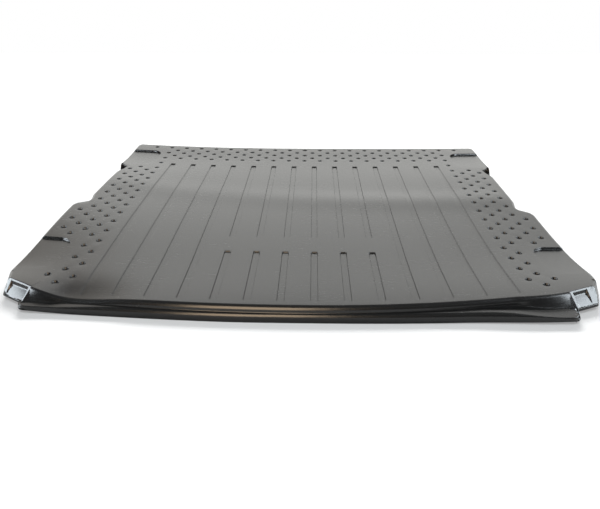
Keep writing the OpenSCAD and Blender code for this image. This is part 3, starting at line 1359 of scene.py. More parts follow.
    def triangulate(self, skin: Skin) -> tuple[Array, Array, int]:
        """Meshes a skin in plan, with round holes for the studs.

        Args:
            skin: Which face of the sheet.

        Returns:
            The plan points, the triangles, and how many of the points at the start are the foot line.
        """
        inset = self.inset(skin)
        boundary = self.footprint
        if skin is Skin.INNER:
            boundary = Outline(self.footprint.inset(inset / np.cos(self.footprint.lean)), self.footprint.lean)
        mouth, _ = self.stud_radii(inset)
        lines = self.breaklines(skin)
        kept_lines: list[Array] = [boundary.points]
        edges: list[tuple[int, int]] = []
        count = len(boundary.points)
        least_inside, merge, within = 0.0004, 1e-7, 0.97
        for line, closed in lines:
            inside, _ = boundary.depth(line)
            fits = inside > least_inside
            index = np.cumsum(fits) - 1 + count
            pairs = len(line) if closed else len(line) - 1
            for k in range(pairs):
                after = (k + 1) % len(line)
                if fits[k] and fits[after]:
                    edges.append((int(index[k]), int(index[after])))
            kept_lines.append(line[fits])
            count += int(fits.sum())
        kept_lines.append(self.fillers(lines, boundary, mouth))
        points = np.concatenate(kept_lines)
        ring = len(boundary.points)
        border = list(range(ring))
        found = delaunay_2d_cdt([Vector(point) for point in points], edges, [border], 1, merge)
        places = np.array([tuple(point) for point in found[0]])
        triangles = np.array([face for face in found[2] if len(face) == 3])
        middles = places[triangles].mean(1)
        inner = mouth * math.cos(math.pi / self.studs.sides) * within
        outside_studs = [self.stud_tree.find((x, y, 0.0))[2] > inner for x, y in middles]
        triangles = triangles[np.array(outside_studs)]
        return places, triangles, ring

    def skin_mesh(self, skin: Skin, cups: Array, cup_faces: list[tuple[int, ...]]) -> SkinMesh:
        """Makes one skin with its stud cups joined on.

        Args:
            skin: Which face of the sheet.
            cups: Places of the cups' vertices before the sheet's lie.
            cup_faces: The cups' faces.

        Returns:
            The skin.
        """
        inset = self.inset(skin)
        places, triangles, ring = self.triangulate(skin)
        height = self.height(places, inset)
        height[:ring] = 0.0
        vertices = np.column_stack([places, height])
        faces: list[tuple[int, ...]] = [tuple(int(k) for k in face) for face in triangles]
        base = len(vertices)
        faces += [tuple(k + base for k in face) for face in cup_faces]
        vertices = np.concatenate([vertices, cups])
        return SkinMesh(vertices, faces)

    def normals(self, places: Array, inset: float) -> Array:
        """Gives the direction that a skin's surface faces upwards, with the sheet's lie.

        Args:
            places: Plan places, one a row.
            inset: Distance that the skin is set in.

        Returns:
            Unit directions, one a row.
        """
        step, steepest = 0.00002, 12.0
        slopes = []
        for move in (np.array([step, 0.0]), np.array([0.0, step])):
            high, low = places + move, places - move
            rise = self.height(high, inset) - self.height(low, inset)
            curl = self.lie.lift(high[:, 0], high[:, 1]) - self.lie.lift(low[:, 0], low[:, 1])
            rise += self.curl_shade * curl
            slopes.append(np.clip(rise / (2.0 * step), -steepest, steepest))
        normal = np.column_stack([-slopes[0], -slopes[1], np.ones(len(places))])
        return normal / np.linalg.norm(normal, axis=1)[:, None]

    def build(self, finish: bpy.types.Material) -> bpy.types.Object:
        """Makes the sheet's mesh piece.

        Args:
            finish: The sheet's material.

        Returns:
            The piece, at the origin.
        """
        vertices: list[Array] = []
        faces: list[tuple[int, ...]] = []
        normals: list[Array] = []
        rings: list[int] = []
        base = 0
        for skin in (Skin.OUTER, Skin.INNER):
            inset = self.inset(skin)
            mouth, end = self.stud_radii(inset)
            cups, cup_faces = StudCups(self.studs, mouth, end).build(self.stud_places, self.panel - inset)
            cups[:, 2] -= self.dent.drop(cups[:, 0], cups[:, 1])
            made = self.skin_mesh(skin, cups, cup_faces)
            facing = self.normals(made.vertices[:, :2], inset)
            flip = skin is Skin.INNER
            rings.append(base)
            vertices.append(made.vertices)
            normals.append(-facing if flip else facing)
            for face in made.faces:
                turned = tuple(reversed(face)) if flip else face
                faces.append(tuple(k + base for k in turned))
            base += len(made.vertices)
            LOG.info("%s skin: %d points, %d faces", skin.value, len(made.vertices), len(made.faces))
        ring = len(self.footprint.points)
        for k in range(ring):
            after = (k + 1) % ring
            faces.append((rings[0] + k, rings[1] + k, rings[1] + after, rings[0] + after))
        places = self.lie.laid(np.concatenate(vertices))
        places[:, 1] += self.front
        return mesh_piece("liner_formed_sheet", places, faces, np.concatenate(normals), finish)


@dataclass
class SkinMesh:
    """One face of the sheet as a mesh.

    Attributes:
        vertices: Places of its points, which start with its foot line.
        faces: Its faces.
    """

    vertices: Array
    faces: list[tuple[int, ...]]


def mesh_piece(
    name: str, places: Array, faces: Sequence[tuple[int, ...]], normals: Array, finish: bpy.types.Material
) -> bpy.types.Object:
    """Makes an object from points and faces, with its own shading directions.

    Args:
        name: Name of the piece.
        places: Points, one a row.
        faces: Faces as point numbers.
        normals: Shading direction of each point.
        finish: Material.

    Returns:
        The object.
    """
    mesh = bpy.data.meshes.new(name)
    mesh.from_pydata(places.tolist(), [], [list(face) for face in faces])
    mesh.update()
    mesh.polygons.foreach_set("use_smooth", [True] * len(mesh.polygons))
    mesh.materials.append(finish)
    mesh.normals_split_custom_set_from_vertices(normals.tolist())
    piece = bpy.data.objects.new(name, mesh)
    bpy.context.scene.collection.objects.link(piece)
    return piece


class NodeTree:
    """Adds nodes to one node tree, for shaders and for geometry alike."""

    def __init__(self, tree: bpy.types.NodeTree) -> None:
        """Starts with an empty tree."""
        self.tree = tree
        tree.nodes.clear()

    def node(self, kind: str, settings: dict[str, Any] | None = None, **inputs: Any) -> bpy.types.Node:
        """Adds a node, sets it and then its sockets.

        Args:
            kind: The node's type.
            settings: Its own settings, set first. A ramp's stops are given as "stops".
            inputs: Values or links by socket name, with _ for a space, or by number as in0, in1.

        Returns:
            The node.
        """
        made = self.tree.nodes.new(kind)
        for name, value in (settings or {}).items():
            if name == "stops":
                self.set_stops(made, value)
            else:
                setattr(made, name, value)
        for name, value in inputs.items():
            self.feed(self.socket(made, name), value)
        return made

    @staticmethod
    def socket(node: bpy.types.Node, name: str) -> bpy.types.NodeSocket:
        """Finds an input socket.

        Args:
            node: The node.
            name: The socket's name, with _ for a space, or its number as in0, in1.

        Returns:
            The socket.
        """
        if name.startswith("in") and name[2:].isdigit():
            return node.inputs[int(name[2:])]
        return node.inputs[name.replace("_", " ")]

    def feed(self, socket: bpy.types.NodeSocket, value: Any) -> None:
        """Links an input socket to what gives its value, or sets it.

        Args:
            socket: The input socket.
            value: A wrapped number or an output socket, which is linked, or a plain value.
        """
        source = value.socket if isinstance(value, Value) else value
        if isinstance(source, bpy.types.NodeSocket):
            self.tree.links.new(source, socket)
        else:
            socket.default_value = source

    @staticmethod
    def set_stops(node: bpy.types.Node, stops: Sequence[tuple[float, float]]) -> None:
        """Sets a grey ramp's stops.

        Args:
            node: The ramp.
            stops: Each stop's place and brightness.
        """
        elements = node.color_ramp.elements
        while len(elements) < len(stops):
            elements.new(1.0)
        for element, (place, level) in zip(elements, stops):
            element.position = place
            element.color = (level, level, level, 1.0)

    def value(self, socket: bpy.types.NodeSocket) -> Value:
        """Wraps a socket for arithmetic."""
        return Value(self, socket)

    def eased(self, value: Any, low: float = 0.0, high: float = 1.0) -> Value:
        """Eases a number from 0 to 1.

        Args:
            value: The number.
            low: Where the result is 0.
            high: Where it is 1.

        Returns:
            The eased number.
        """
        settings = {"interpolation_type": "SMOOTHSTEP"}
        made = self.node("ShaderNodeMapRange", settings, Value=value, From_Min=low, From_Max=high)
        return Value(self, made.outputs["Result"])

    def blended(self, share: Any, first: Sequence[float], second: Sequence[float]) -> bpy.types.NodeSocket:
        """Blends two colours.

        Args:
            share: Share of the second colour.
            first: The first colour.
            second: The second colour.

        Returns:
            The socket that gives the blend.
        """
        made = self.node("ShaderNodeMix", {"data_type": "RGBA"}, in0=share, in6=first, in7=second)
        return made.outputs[2]


class Value:
    """A number in a node tree, which Python's operators work on."""

    def __init__(self, tree: NodeTree, socket: bpy.types.NodeSocket) -> None:
        """Keeps the socket that gives the number."""
        self.tree = tree
        self.socket = socket

    def math(self, operation: str, first: Any, second: Any = 0.0, clamp: bool = False) -> Value:
        """Adds one Math node.

        Args:
            operation: What it does.
            first: Its first number.
            second: Its second number.
            clamp: Whether its result is kept between 0 and 1.

        Returns:
            The result.
        """
        settings = {"operation": operation, "use_clamp": clamp}
        made = self.tree.node("ShaderNodeMath", settings, in0=first, in1=second)
        return Value(self.tree, made.outputs[0])

    def __add__(self, other: Any) -> Value:
        """Adds."""
        return self.math("ADD", self, other)

    def __radd__(self, other: Any) -> Value:
        """Adds to a plain number."""
        return self.math("ADD", other, self)

    def __sub__(self, other: Any) -> Value:
        """Subtracts."""
        return self.math("SUBTRACT", self, other)

    def __rsub__(self, other: Any) -> Value:
        """Subtracts from a plain number."""
        return self.math("SUBTRACT", other, self)

    def __mul__(self, other: Any) -> Value:
        """Multiplies."""
        return self.math("MULTIPLY", self, other)

    def __rmul__(self, other: Any) -> Value:
        """Multiplies a plain number."""
        return self.math("MULTIPLY", other, self)

    def __truediv__(self, other: Any) -> Value:
        """Divides."""
        return self.math("DIVIDE", self, other)

    def clamped(self) -> Value:
        """Keeps the number between 0 and 1."""
        return self.math("ADD", self, 0.0, clamp=True)

    def larger(self, other: Any) -> Value:
        """Takes the larger of two numbers."""
        return self.math("MAXIMUM", self, other)


def shader_nodes(name: str) -> tuple[bpy.types.Material, NodeTree]:
    """Makes a material with an empty node tree.

    Args:
        name: Name of the material.

    Returns:
        The material and its tree.
    """
    material = bpy.data.materials.new(name)
    material.use_nodes = True
    return material, NodeTree(material.node_tree)


def open_group(name: str, inputs: Sequence[tuple[str, str]]) -> bpy.types.NodeTree:
    """Makes an empty Geometry Nodes tree with named inputs for its sizes and one for its material.

    Args:
        name: Name of the tree.
        inputs: Each size's name and type.

    Returns:
        The tree.
    """
    group = bpy.data.node_groups.new(name, "GeometryNodeTree")
    sockets = [("Geometry", "Geometry"), *inputs, ("Finish", "Material")]
    for label, kind in sockets:
        group.interface.new_socket(label, in_out="INPUT", socket_type=f"NodeSocket{kind}")
    group.interface.new_socket("Geometry", in_out="OUTPUT", socket_type="NodeSocketGeometry")
    return group


def close_group(nodes: NodeTree, shape: bpy.types.NodeSocket, finish: bpy.types.NodeSocket) -> None:
    """Ends a Geometry Nodes tree with plain faces that have their material.

    Args:
        nodes: The tree.
        shape: Socket that gives the finished shape.
        finish: Socket that gives its material.
    """
    real = nodes.node("GeometryNodeRealizeInstances", Geometry=shape)
    dressed = nodes.node("GeometryNodeSetMaterial", Geometry=real.outputs[0], Material=finish)
    nodes.node("NodeGroupOutput", Geometry=dressed.outputs[0])


@dataclass
class StudCups:
    """Makes the studs' cups with Geometry Nodes: one cup on each stud's place.

    Attributes:
        studs: The studs' sizes.
        mouth: Radius at the panel.
        end: Radius at the flat end.
    """

    studs: Studs
    mouth: float
    end: float

    def tree(self) -> bpy.types.NodeTree:
        """Builds the node tree, with named inputs for a cup's sizes.

        Returns:
            The tree.
        """
        sizes = [(name, "Float") for name in ("Mouth radius", "End radius", "Depth")]
        counts = [(name, "Int") for name in ("Sides", "Bands")]
        group = open_group("stud_cups", sizes + counts)
        nodes = NodeTree(group)
        given = nodes.node("NodeGroupInput").outputs
        wall = nodes.node(
            "GeometryNodeMeshCone",
            {"fill_type": "NONE"},
            Vertices=given["Sides"],
            Side_Segments=given["Bands"],
            Radius_Top=given["Mouth radius"],
            Radius_Bottom=given["End radius"],
            Depth=given["Depth"],
        )
        end = nodes.node(
            "GeometryNodeMeshCircle",
            {"fill_type": "NGON"},
            Vertices=given["Sides"],
            Radius=given["End radius"],
        )
        place = nodes.node("GeometryNodeInputPosition").outputs[0]
        split = nodes.node("ShaderNodeSeparateXYZ", Vector=place).outputs
        share = nodes.value(split["Z"]) / given["Depth"]
        sunk = (nodes.eased(share) - 1.0) * given["Depth"]
        curved = nodes.node("ShaderNodeCombineXYZ", X=split["X"], Y=split["Y"], Z=sunk).outputs[0]
        wall_bent = nodes.node("GeometryNodeSetPosition", Geometry=wall.outputs["Mesh"], Position=curved)
        drop = nodes.node("ShaderNodeCombineXYZ", Z=0.0 - nodes.value(given["Depth"])).outputs[0]
        end_low = nodes.node("GeometryNodeSetPosition", Geometry=end.outputs["Mesh"], Offset=drop)
        both = nodes.node("GeometryNodeJoinGeometry")
        group.links.new(wall_bent.outputs[0], both.inputs[0])
        group.links.new(end_low.outputs[0], both.inputs[0])
        cup = nodes.node("GeometryNodeMergeByDistance", Geometry=both.outputs[0], Distance=1e-5).outputs[0]
        set_out = nodes.node("GeometryNodeInstanceOnPoints", Points=given["Geometry"], Instance=cup)
        close_group(nodes, set_out.outputs[0], given["Finish"])
        return group

    def build(self, places: Array, level: float) -> tuple[Array, list[tuple[int, ...]]]:
        """Makes all cups.

        Args:
            places: The studs' plan places.
            level: Height of the skin that they are pressed into.

        Returns:
            The cups' points and faces, which face up.
        """
        points = bpy.data.meshes.new("stud_points")
        points.from_pydata([(x, y, level) for x, y in places], [], [])
        holder = bpy.data.objects.new("stud_points", points)
        bpy.context.scene.collection.objects.link(holder)
        values = {
            "Mouth radius": self.mouth,
            "End radius": self.end,
            "Depth": self.studs.depth,
            "Sides": self.studs.sides,
            "Bands": self.studs.bands,
        }
        mesh = realised(holder, self.tree(), values)
        vertices = np.array([tuple(vertex.co) for vertex in mesh.vertices])
        faces = []
        for polygon in mesh.polygons:
            order = tuple(polygon.vertices)
            faces.append(order if polygon.normal.z > 0.0 else tuple(reversed(order)))
        bpy.data.objects.remove(holder)
        return vertices, faces


def realised(holder: bpy.types.Object, tree: bpy.types.NodeTree, values: dict[str, Any]) -> bpy.types.Mesh:
    """Runs a Geometry Nodes tree on an object and gives the result as a plain mesh.

    Args:
        holder: Object that the tree works on.
        tree: The tree.
        values: Its inputs by name.

    Returns:
        The mesh, with the modifier gone from the object.
    """
    modifier = holder.modifiers.new(tree.name, "NODES")
    modifier.node_group = tree
    for item in tree.interface.items_tree:
        if item.item_type == "SOCKET" and item.in_out == "INPUT" and item.name in values:
            modifier[item.identifier] = values[item.name]
    graph = bpy.context.evaluated_depsgraph_get()
    mesh = bpy.data.meshes.new_from_object(holder.evaluated_get(graph))
    holder.modifiers.remove(modifier)
    return mesh


@dataclass
class FoamStrips:
    """The thin foam strips on the outside of the rim.

    Attributes:
        lie: How the sheet lies, which the strips follow.
        front: Frame y of the panel's front edge.
        lean: Lean of the rim that they are stuck to.
        width: Width up the rim.
        thickness: Thickness.
        edge: Radius of the strip's long edges.
        rings: Number of sections along a strip.
    """

    lie: Lie
    front: float
    lean: float
    width: float = 0.010
    thickness: float = 0.002
    edge: float = 0.0006
    rings: int = 23

    def tree(self) -> bpy.types.NodeTree:
        """Builds the node tree that runs a rounded section along a line.

        Returns:
            The tree.
        """
        places = [(name, "Vector") for name in ("Start", "End", "Outwards")]
        sizes = [(name, "Float") for name in ("Width", "Thickness", "Edge radius")]
        group = open_group("foam_strip", places + sizes + [("Rings", "Int")])
        nodes = NodeTree(group)
        given = nodes.node("NodeGroupInput").outputs
        line = nodes.node("GeometryNodeCurvePrimitiveLine", Start=given["Start"], End=given["End"])
        path = nodes.node("GeometryNodeResampleCurve", Curve=line.outputs[0], Count=given["Rings"])
        turned = nodes.node(
            "GeometryNodeSetCurveNormal", {"mode": "FREE"}, Curve=path.outputs[0], Normal=given["Outwards"]
        )
        section = nodes.node(
            "GeometryNodeCurvePrimitiveQuadrilateral", Width=given["Thickness"], Height=given["Width"]
        )
        rounded = nodes.node(
            "GeometryNodeFilletCurve",
            {"mode": "POLY"},
            Curve=section.outputs[0],
            Count=3,
            Radius=given["Edge radius"],
        )
        strip = nodes.node(
            "GeometryNodeCurveToMesh",
            Curve=turned.outputs[0],
            Profile_Curve=rounded.outputs[0],
            Fill_Caps=True,
        )
        close_group(nodes, strip.outputs[0], given["Finish"])
        return group

    def build(self, node: str, tree: bpy.types.NodeTree, finish: bpy.types.Material) -> bpy.types.Object:
        """Makes one strip where its solid is.

        Args:
            node: Name of the strip's solid in the frame.
            tree: The strips' node tree.
            finish: The foam's material.

        Returns:
            The piece, at the origin.
        """
        low, high = (np.array(tuple(corner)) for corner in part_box(node))
        middle, size = (low + high) / 2.0, high - low
        along = int(np.argmax(size[:2]))
        across = 1 - along
        outwards = np.zeros(3)
        outwards[across] = math.copysign(math.cos(self.lean), middle[across])
        outwards[2] = math.sin(self.lean)
        start, end = middle.copy(), middle.copy()
        start[along], end[along] = low[along], high[along]
        holder = bpy.data.objects.new("strip_holder", bpy.data.meshes.new("strip_holder"))
        bpy.context.scene.collection.objects.link(holder)
        values = {
            "Start": tuple(start),
            "End": tuple(end),
            "Outwards": tuple(outwards),
            "Width": self.width,
            "Thickness": self.thickness,
            "Edge radius": self.edge,
            "Rings": self.rings,
            "Finish": finish,
        }
        mesh = realised(holder, tree, values)
        bpy.data.objects.remove(holder)
        origin = np.array([0.0, self.front, 0.0])
        flat = np.array([tuple(vertex.co) for vertex in mesh.vertices])
        places = self.lie.laid(flat - origin) + origin
        mesh.vertices.foreach_set("co", places.ravel())
        mesh.polygons.foreach_set("use_smooth", [len(face.vertices) == 4 for face in mesh.polygons])
        mesh.update()
        mesh.name = f"{node}_foam"
        piece = bpy.data.objects.new(mesh.name, mesh)
        bpy.context.scene.collection.objects.link(piece)
        return piece


@dataclass(frozen=True)
class SheetFinish:
    """Satin black plastic with a fine pressed grain.

    Attributes:
        dark: Colour of the plain plastic.
        pale: Colour where handling has dulled it.
        satin: Roughness of the plain plastic.
        dulled: Roughness where it is dulled.
        grain: Size of the grain.
        grain_depth: Strength of the grain's bump.
        cloud_scale: How many soft clouds of dullness lie in a metre.
        cloud_share: How much the clouds dull it.
        rub_stretch: Scale of the rub marks along each axis, so that they run across the liner.
        rub_scale: Further scale of the rub marks.
        rub_stops: Where the rub marks begin and are whole.
        rub_share: How much the rub marks dull it.
        gloss: Index of refraction.
    """

    dark: tuple[float, float, float, float] = (0.008, 0.008, 0.008, 1.0)
    pale: tuple[float, float, float, float] = (0.013, 0.013, 0.013, 1.0)
    satin: float = 0.22
    dulled: float = 0.32
    grain: float = 0.0012
    grain_depth: float = 0.02
    cloud_scale: float = 9.0
    cloud_share: float = 0.7
    rub_stretch: tuple[float, float, float] = (6.0, 90.0, 6.0)
    rub_scale: float = 3.0
    rub_stops: tuple[tuple[float, float], ...] = ((0.55, 0.0), (0.78, 1.0))
    rub_share: float = 0.35
    gloss: float = 1.5

    def material(self) -> bpy.types.Material:
        """Builds the material.

        Returns:
            The material.
        """
        material, nodes = shader_nodes("formed_sheet_plastic")
        noise = "ShaderNodeTexNoise"
        place = nodes.node("ShaderNodeTexCoord").outputs["Object"]
        clouds = nodes.node(noise, Vector=place, Scale=self.cloud_scale, Detail=4.0, Roughness=0.6)
        along = nodes.node("ShaderNodeMapping", Vector=place, Scale=self.rub_stretch).outputs[0]
        rubbed = nodes.node(noise, Vector=along, Scale=self.rub_scale, Detail=5.0, Roughness=0.65)
        marks = nodes.node("ShaderNodeValToRGB", {"stops": self.rub_stops}, Fac=rubbed.outputs[0])
        cloud = nodes.value(clouds.outputs[0])
        rub = nodes.value(marks.outputs[0])
        dull = (cloud * self.cloud_share + rub * self.rub_share).clamped()
        roughness = self.satin + dull * (self.dulled - self.satin)
        grain = nodes.node(noise, Vector=place, Scale=1.0 / self.grain, Detail=2.0, Roughness=0.5)
        bump = nodes.node(
            "ShaderNodeBump", Strength=self.grain_depth, Distance=self.grain, Height=grain.outputs[0]
        )
        shader = nodes.node(
            "ShaderNodeBsdfPrincipled",
            Base_Color=nodes.blended(dull, self.dark, self.pale),
            Roughness=roughness,
            IOR=self.gloss,
            Normal=bump.outputs[0],
        )
        nodes.node("ShaderNodeOutputMaterial", Surface=shader.outputs[0])
        return material


@dataclass(frozen=True)
class FoamFinish:
    """Matt black closed-cell foam.

    Attributes:
        dark: Colour in the cells.
        pale: Colour of the cells' walls.
        cell: Size of a cell.
        cell_depth: Strength of the cells' bump.
        matt: Roughness in the cells.
        wall_matt: How much rougher the cells' walls are.
    """

    dark: tuple[float, float, float, float] = (0.016, 0.016, 0.017, 1.0)
    pale: tuple[float, float, float, float] = (0.030, 0.030, 0.031, 1.0)
    cell: float = 0.0006
    cell_depth: float = 0.4
    matt: float = 0.85
    wall_matt: float = 0.1

    def material(self) -> bpy.types.Material:
        """Builds the material.

        Returns:
            The material.
        """
        material, nodes = shader_nodes("closed_cell_foam")
        place = nodes.node("ShaderNodeTexCoord").outputs["Object"]
        cells = nodes.node("ShaderNodeTexVoronoi", Vector=place, Scale=1.0 / self.cell)
        depth = nodes.value(cells.outputs["Distance"])
        bump = nodes.node("ShaderNodeBump", Strength=self.cell_depth, Distance=self.cell, Height=depth)
        shader = nodes.node(
            "ShaderNodeBsdfPrincipled",
            Base_Color=nodes.blended(depth.clamped(), self.dark, self.pale),
            Roughness=self.matt + self.wall_matt * depth,
            Normal=bump.outputs[0],
        )
        nodes.node("ShaderNodeOutputMaterial", Surface=shader.outputs[0])
        return material


@dataclass(frozen=True)
class Lamp:
    """One soft rectangular lamp.

    Attributes:
        name: Its name.
        place: Where it hangs.
        size: Its width and height.
        level: Brightness of its face, where 1 is white.
        colour: Its colour.
        lights: Whether it lights matt surfaces.
        mirrored: Whether glossy surfaces show it.
        seen: Whether the camera sees it.
    """

    name: str
    place: tuple[float, float, float]
    size: tuple[float, float]
    level: float
    colour: tuple[float, float, float] = (1.0, 1.0, 1.0)
    lights: bool = True
    mirrored: bool = True
    seen: bool = True

    def hang(self, aim: Vector) -> None:
        """Hangs the lamp so that it faces a point.

        Args:
            aim: The point.
        """
        data = bpy.data.lights.new(self.name, "AREA")
        data.shape = "RECTANGLE"
        data.size, data.size_y = self.size
        data.energy = self.level * math.pi * self.size[0] * self.size[1]
        data.color = self.colour
        lamp = bpy.data.objects.new(self.name, data)
        lamp.location = self.place
        lamp.rotation_euler = (aim - Vector(self.place)).to_track_quat("-Z", "Y").to_euler()
        lamp.visible_diffuse = self.lights
        lamp.visible_glossy = self.mirrored
        lamp.visible_camera = self.seen
        bpy.context.scene.collection.objects.link(lamp)


COOL = (0.86, 0.94, 1.0)
LAMPS = (
    Lamp("overhead", (0.1, -1.25, 1.65), (1.7, 0.7), 6.0, (0.92, 0.97, 1.0), mirrored=False),
    Lamp("beside_right", (0.90, -0.42, 0.35), (0.50, 0.46), 14.0, COOL, lights=False, seen=False),
    Lamp("beside_left", (-0.94, -0.38, 0.26), (0.50, 0.36), 14.0, COOL, lights=False, seen=False),
    Lamp("warm_lamp", (-0.14, -0.87, 0.27), (0.38, 0.50), 8.0, (1.0, 0.76, 0.52), lights=False, seen=False),
    Lamp("behind", (0.0, 2.3, 2.1), (3.0, 0.8), 24.0, mirrored=False),
)


@dataclass
class Studio:
    """The floor, the light and the camera.

    Attributes:
        front: Frame y of the panel's front edge.
        eye: Plan place and height of the camera.
        yaw: Turn of the camera to the right, in degrees.
        pitch: Its tilt downwards, in degrees.
        roll: Its roll, in degrees.
        focal: Its focal length in pixels of the picture.
        picture: The picture's width in pixels.
        ambient: Brightness of the surround as a light, where 1 is white.
        far_side: Frame y of the far card, where the floor ends too.
        aim: Point that the lamps face.
        floor_reach: How far the floor reaches to the front and to the sides.
        floor_grey: Brightness of the floor's colour.
        floor_glow: Brightness that the camera sees added near the liner.
        floor_fade: Distances from the origin between which that grows to white.
        card_half: Half the width of the far card and the dark card.
        card_heights: Heights of the far card's lower and upper edge.
        card_level: Brightness of the far card.
        card_top: Heights between which its upper part sets in.
        card_left: Frame x between which its left part sets in.
        card_right: Frame x between which its right part sets in.
        top_loss: How much darker the upper part is.
        left_loss: How much darker the upper part is on the left.
        right_loss: How much darker the right part is.
        neutral: Colour of the far card.
        brown: Colour of its upper left part.
        dark_side: Frame y of the dark card.
        dark_heights: Heights of its lower and upper edge.
        dark: Its colour.
    """

    front: float
    eye: tuple[float, float, float] = (0.0221, -0.7106, 0.4997)
    yaw: float = -1.39
    pitch: float = 28.199
    roll: float = -0.099
    focal: float = 533.2
    picture: int = 600
    ambient: float = 0.15
    far_side: float = 2.6
    aim: Vector = field(default_factory=lambda: Vector((0.0, -0.2, 0.02)))
    floor_reach: float = 7.0
    floor_grey: float = 0.50
    floor_glow: float = 0.30
    floor_fade: tuple[float, float] = (0.8, 2.0)
    card_half: float = 5.0
    card_heights: tuple[float, float] = (0.02, 3.6)
    card_level: float = 1.90
    card_top: tuple[float, float] = (0.5, 1.7)
    card_left: tuple[float, float] = (-1.2, -2.4)
    card_right: tuple[float, float] = (0.4, 2.4)
    top_loss: float = 0.05
    left_loss: float = 0.95
    right_loss: float = 0.40
    neutral: tuple[float, float, float, float] = (1.0, 1.0, 0.97, 1.0)
    brown: tuple[float, float, float, float] = (1.0, 0.93, 0.84, 1.0)
    dark_side: float = -2.9
    dark_heights: tuple[float, float] = (0.0, 1.6)
    dark: tuple[float, float, float, float] = (0.10, 0.10, 0.10, 1.0)

    def camera(self) -> None:
        """Places the camera at the photograph's viewing angle."""
        data = bpy.data.cameras.new("camera")
        data.sensor_fit = "HORIZONTAL"
        data.lens = self.focal / self.picture * data.sensor_width
        data.clip_start = 0.01
        yaw, pitch, roll = (math.radians(angle) for angle in (self.yaw, self.pitch, self.roll))
        ahead = Vector((math.sin(yaw) * math.cos(pitch), math.cos(yaw) * math.cos(pitch), -math.sin(pitch)))
        level = Vector((math.cos(yaw), -math.sin(yaw), 0.0))
        up = level.cross(ahead)
        right = level * math.cos(roll) + up * math.sin(roll)
        top = up * math.cos(roll) - level * math.sin(roll)
        turn = Matrix((right, top, -ahead)).transposed().to_4x4()
        turn.translation = Vector((self.eye[0], self.eye[1] + self.front, self.eye[2]))
        camera = bpy.data.objects.new("camera", data)
        camera.matrix_world = turn
        bpy.context.scene.collection.objects.link(camera)
        bpy.context.scene.camera = camera

    def card(
        self, name: str, corners: Sequence[tuple[float, float, float]], finish: bpy.types.Material
    ) -> bpy.types.Object:
        """Makes a flat card for the stage.

        Args:
            name: Name of the card.
            corners: Its corners.
            finish: Its material.

        Returns:
            The card.
        """
        mesh = bpy.data.meshes.new(name)
        mesh.from_pydata(list(corners), [], [list(range(len(corners)))])
        mesh.materials.append(finish)
        piece = bpy.data.objects.new(name, mesh)
        bpy.context.scene.collection.objects.link(piece)
        return piece

    def direct(self, nodes: NodeTree) -> Value:
        """Gives 1 for rays that show a thing to the camera, and 0 for rays that light or mirror one."""
        path = nodes.node("ShaderNodeLightPath").outputs
        return nodes.value(path["Is Camera Ray"]).larger(path["Is Transmission Ray"])

    def floor(self) -> None:
        """Lays a plain floor that the camera sees white and that keeps the liner's shadow."""
        material, nodes = shader_nodes("floor_white")
        matt = nodes.node("ShaderNodeBsdfDiffuse", Color=(self.floor_grey,) * 3 + (1.0,))
        place = nodes.node("ShaderNodeTexCoord").outputs["Object"]
        away = nodes.node("ShaderNodeVectorMath", {"operation": "LENGTH"}, in0=place).outputs["Value"]
        far = nodes.eased(away, *self.floor_fade)
        level = self.direct(nodes) * (self.floor_glow + (1.0 - self.floor_glow) * far)
        glow = nodes.node("ShaderNodeEmission", Color=(1.0, 1.0, 1.0, 1.0), Strength=level)
        both = nodes.node("ShaderNodeAddShader", in0=matt.outputs[0], in1=glow.outputs[0])
        nodes.node("ShaderNodeOutputMaterial", Surface=both.outputs[0])
        reach = self.floor_reach
        end = self.far_side
        corners = [(-reach, -reach, 0.0), (reach, -reach, 0.0), (reach, end, 0.0), (-reach, end, 0.0)]
        self.card("floor", corners, material)

    def world(self) -> None:
        """Sets a white surround that gives only a little light by itself."""
        world = bpy.data.worlds.new("surround")
        bpy.context.scene.world = world
        world.use_nodes = True
        nodes = NodeTree(world.node_tree)
        level = self.ambient + self.direct(nodes) * (1.0 - self.ambient)
        back = nodes.node("ShaderNodeBackground", Color=(1.0, 1.0, 1.0, 1.0), Strength=level)
        nodes.node("ShaderNodeOutputWorld", Surface=back.outputs[0])

    def far_card(self) -> None:
        """Stands the large pale card behind the liner, which the panel mirrors, darker at its upper left."""
        material, nodes = shader_nodes("far_card_white")
        place = nodes.node("ShaderNodeTexCoord").outputs["Object"]
        split = nodes.node("ShaderNodeSeparateXYZ", Vector=place).outputs
        height = nodes.eased(split["Z"], *self.card_top)
        shade = nodes.eased(split["X"], *self.card_left) * height
        right = nodes.eased(split["X"], *self.card_right)
        level = self.card_level - self.top_loss * height - self.left_loss * shade - self.right_loss * right
        colour = nodes.blended(shade, self.neutral, self.brown)
        glow = nodes.node("ShaderNodeEmission", Color=colour, Strength=level)
        nodes.node("ShaderNodeOutputMaterial", Surface=glow.outputs[0])
        card = self.card("far_card", self.upright(self.far_side, *self.card_heights), material)
        card.visible_camera = False

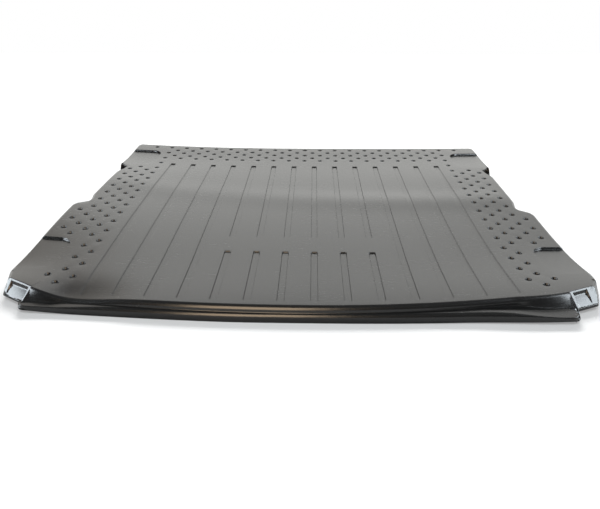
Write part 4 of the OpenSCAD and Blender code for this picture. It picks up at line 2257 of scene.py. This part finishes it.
    def upright(self, y: float, low: float, high: float) -> list[tuple[float, float, float]]:
        """Gives the corners of an upright card between two heights."""
        half = self.card_half
        return [(-half, y, low), (half, y, low), (half, y, high), (-half, y, high)]

    def dark_card(self) -> None:
        """Stands the dark card behind the camera that steep walls mirror."""
        material, nodes = shader_nodes("dark_card_grey")
        shader = nodes.node("ShaderNodeEmission", Color=self.dark, Strength=1.0)
        nodes.node("ShaderNodeOutputMaterial", Surface=shader.outputs[0])
        card = self.card("dark_card", self.upright(self.dark_side, *self.dark_heights), material)
        card.visible_camera = False
        card.visible_diffuse = False
        card.visible_shadow = False

    def build(self) -> None:
        """Sets up the whole studio."""
        self.camera()
        self.floor()
        self.world()
        self.far_card()
        self.dark_card()
        for lamp in LAMPS:
            lamp.hang(self.aim)
        bpy.context.scene.view_settings.view_transform = "Standard"


def dress_sheet(front: float) -> LinerSheet:
    """Makes the sheet and sets it in place of its solid.

    Args:
        front: Frame y of the panel's front edge.

    Returns:
        The sheet.
    """
    sheet = LinerSheet(front)
    piece = sheet.build(SheetFinish().material())
    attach(piece, BODY)
    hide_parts("liner_sheet")
    LOG.info("%s stands for liner_sheet", piece.name)
    return sheet


def dress_strips(frame: dict[str, Any], sheet: LinerSheet) -> None:
    """Makes the foam strips and sets each in place of its solid.

    Args:
        frame: The frame, whose nodes are the solids.
        sheet: The sheet that they are stuck to.
    """
    strips = FoamStrips(sheet.lie, sheet.front, sheet.rim_lean)
    finish = FoamFinish().material()
    tree = strips.tree()
    for node in sorted(frame["nodes"]):
        if not node.startswith("foam_strip"):
            continue
        piece = strips.build(node, tree, finish)
        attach(piece, BODY)
        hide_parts(node)
        LOG.info("%s stands for %s", piece.name, node)


def main() -> None:
    """Builds the studio and the liner around the frame."""
    logging.basicConfig(level=logging.INFO, format="%(name)s: %(message)s")
    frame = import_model()
    low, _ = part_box("liner_sheet")
    front = float(tuple(low)[1]) + Plan().lip_reach
    Studio(front).build()
    sheet = dress_sheet(front)
    dress_strips(frame, sheet)


if __name__ == "__main__":
    main()
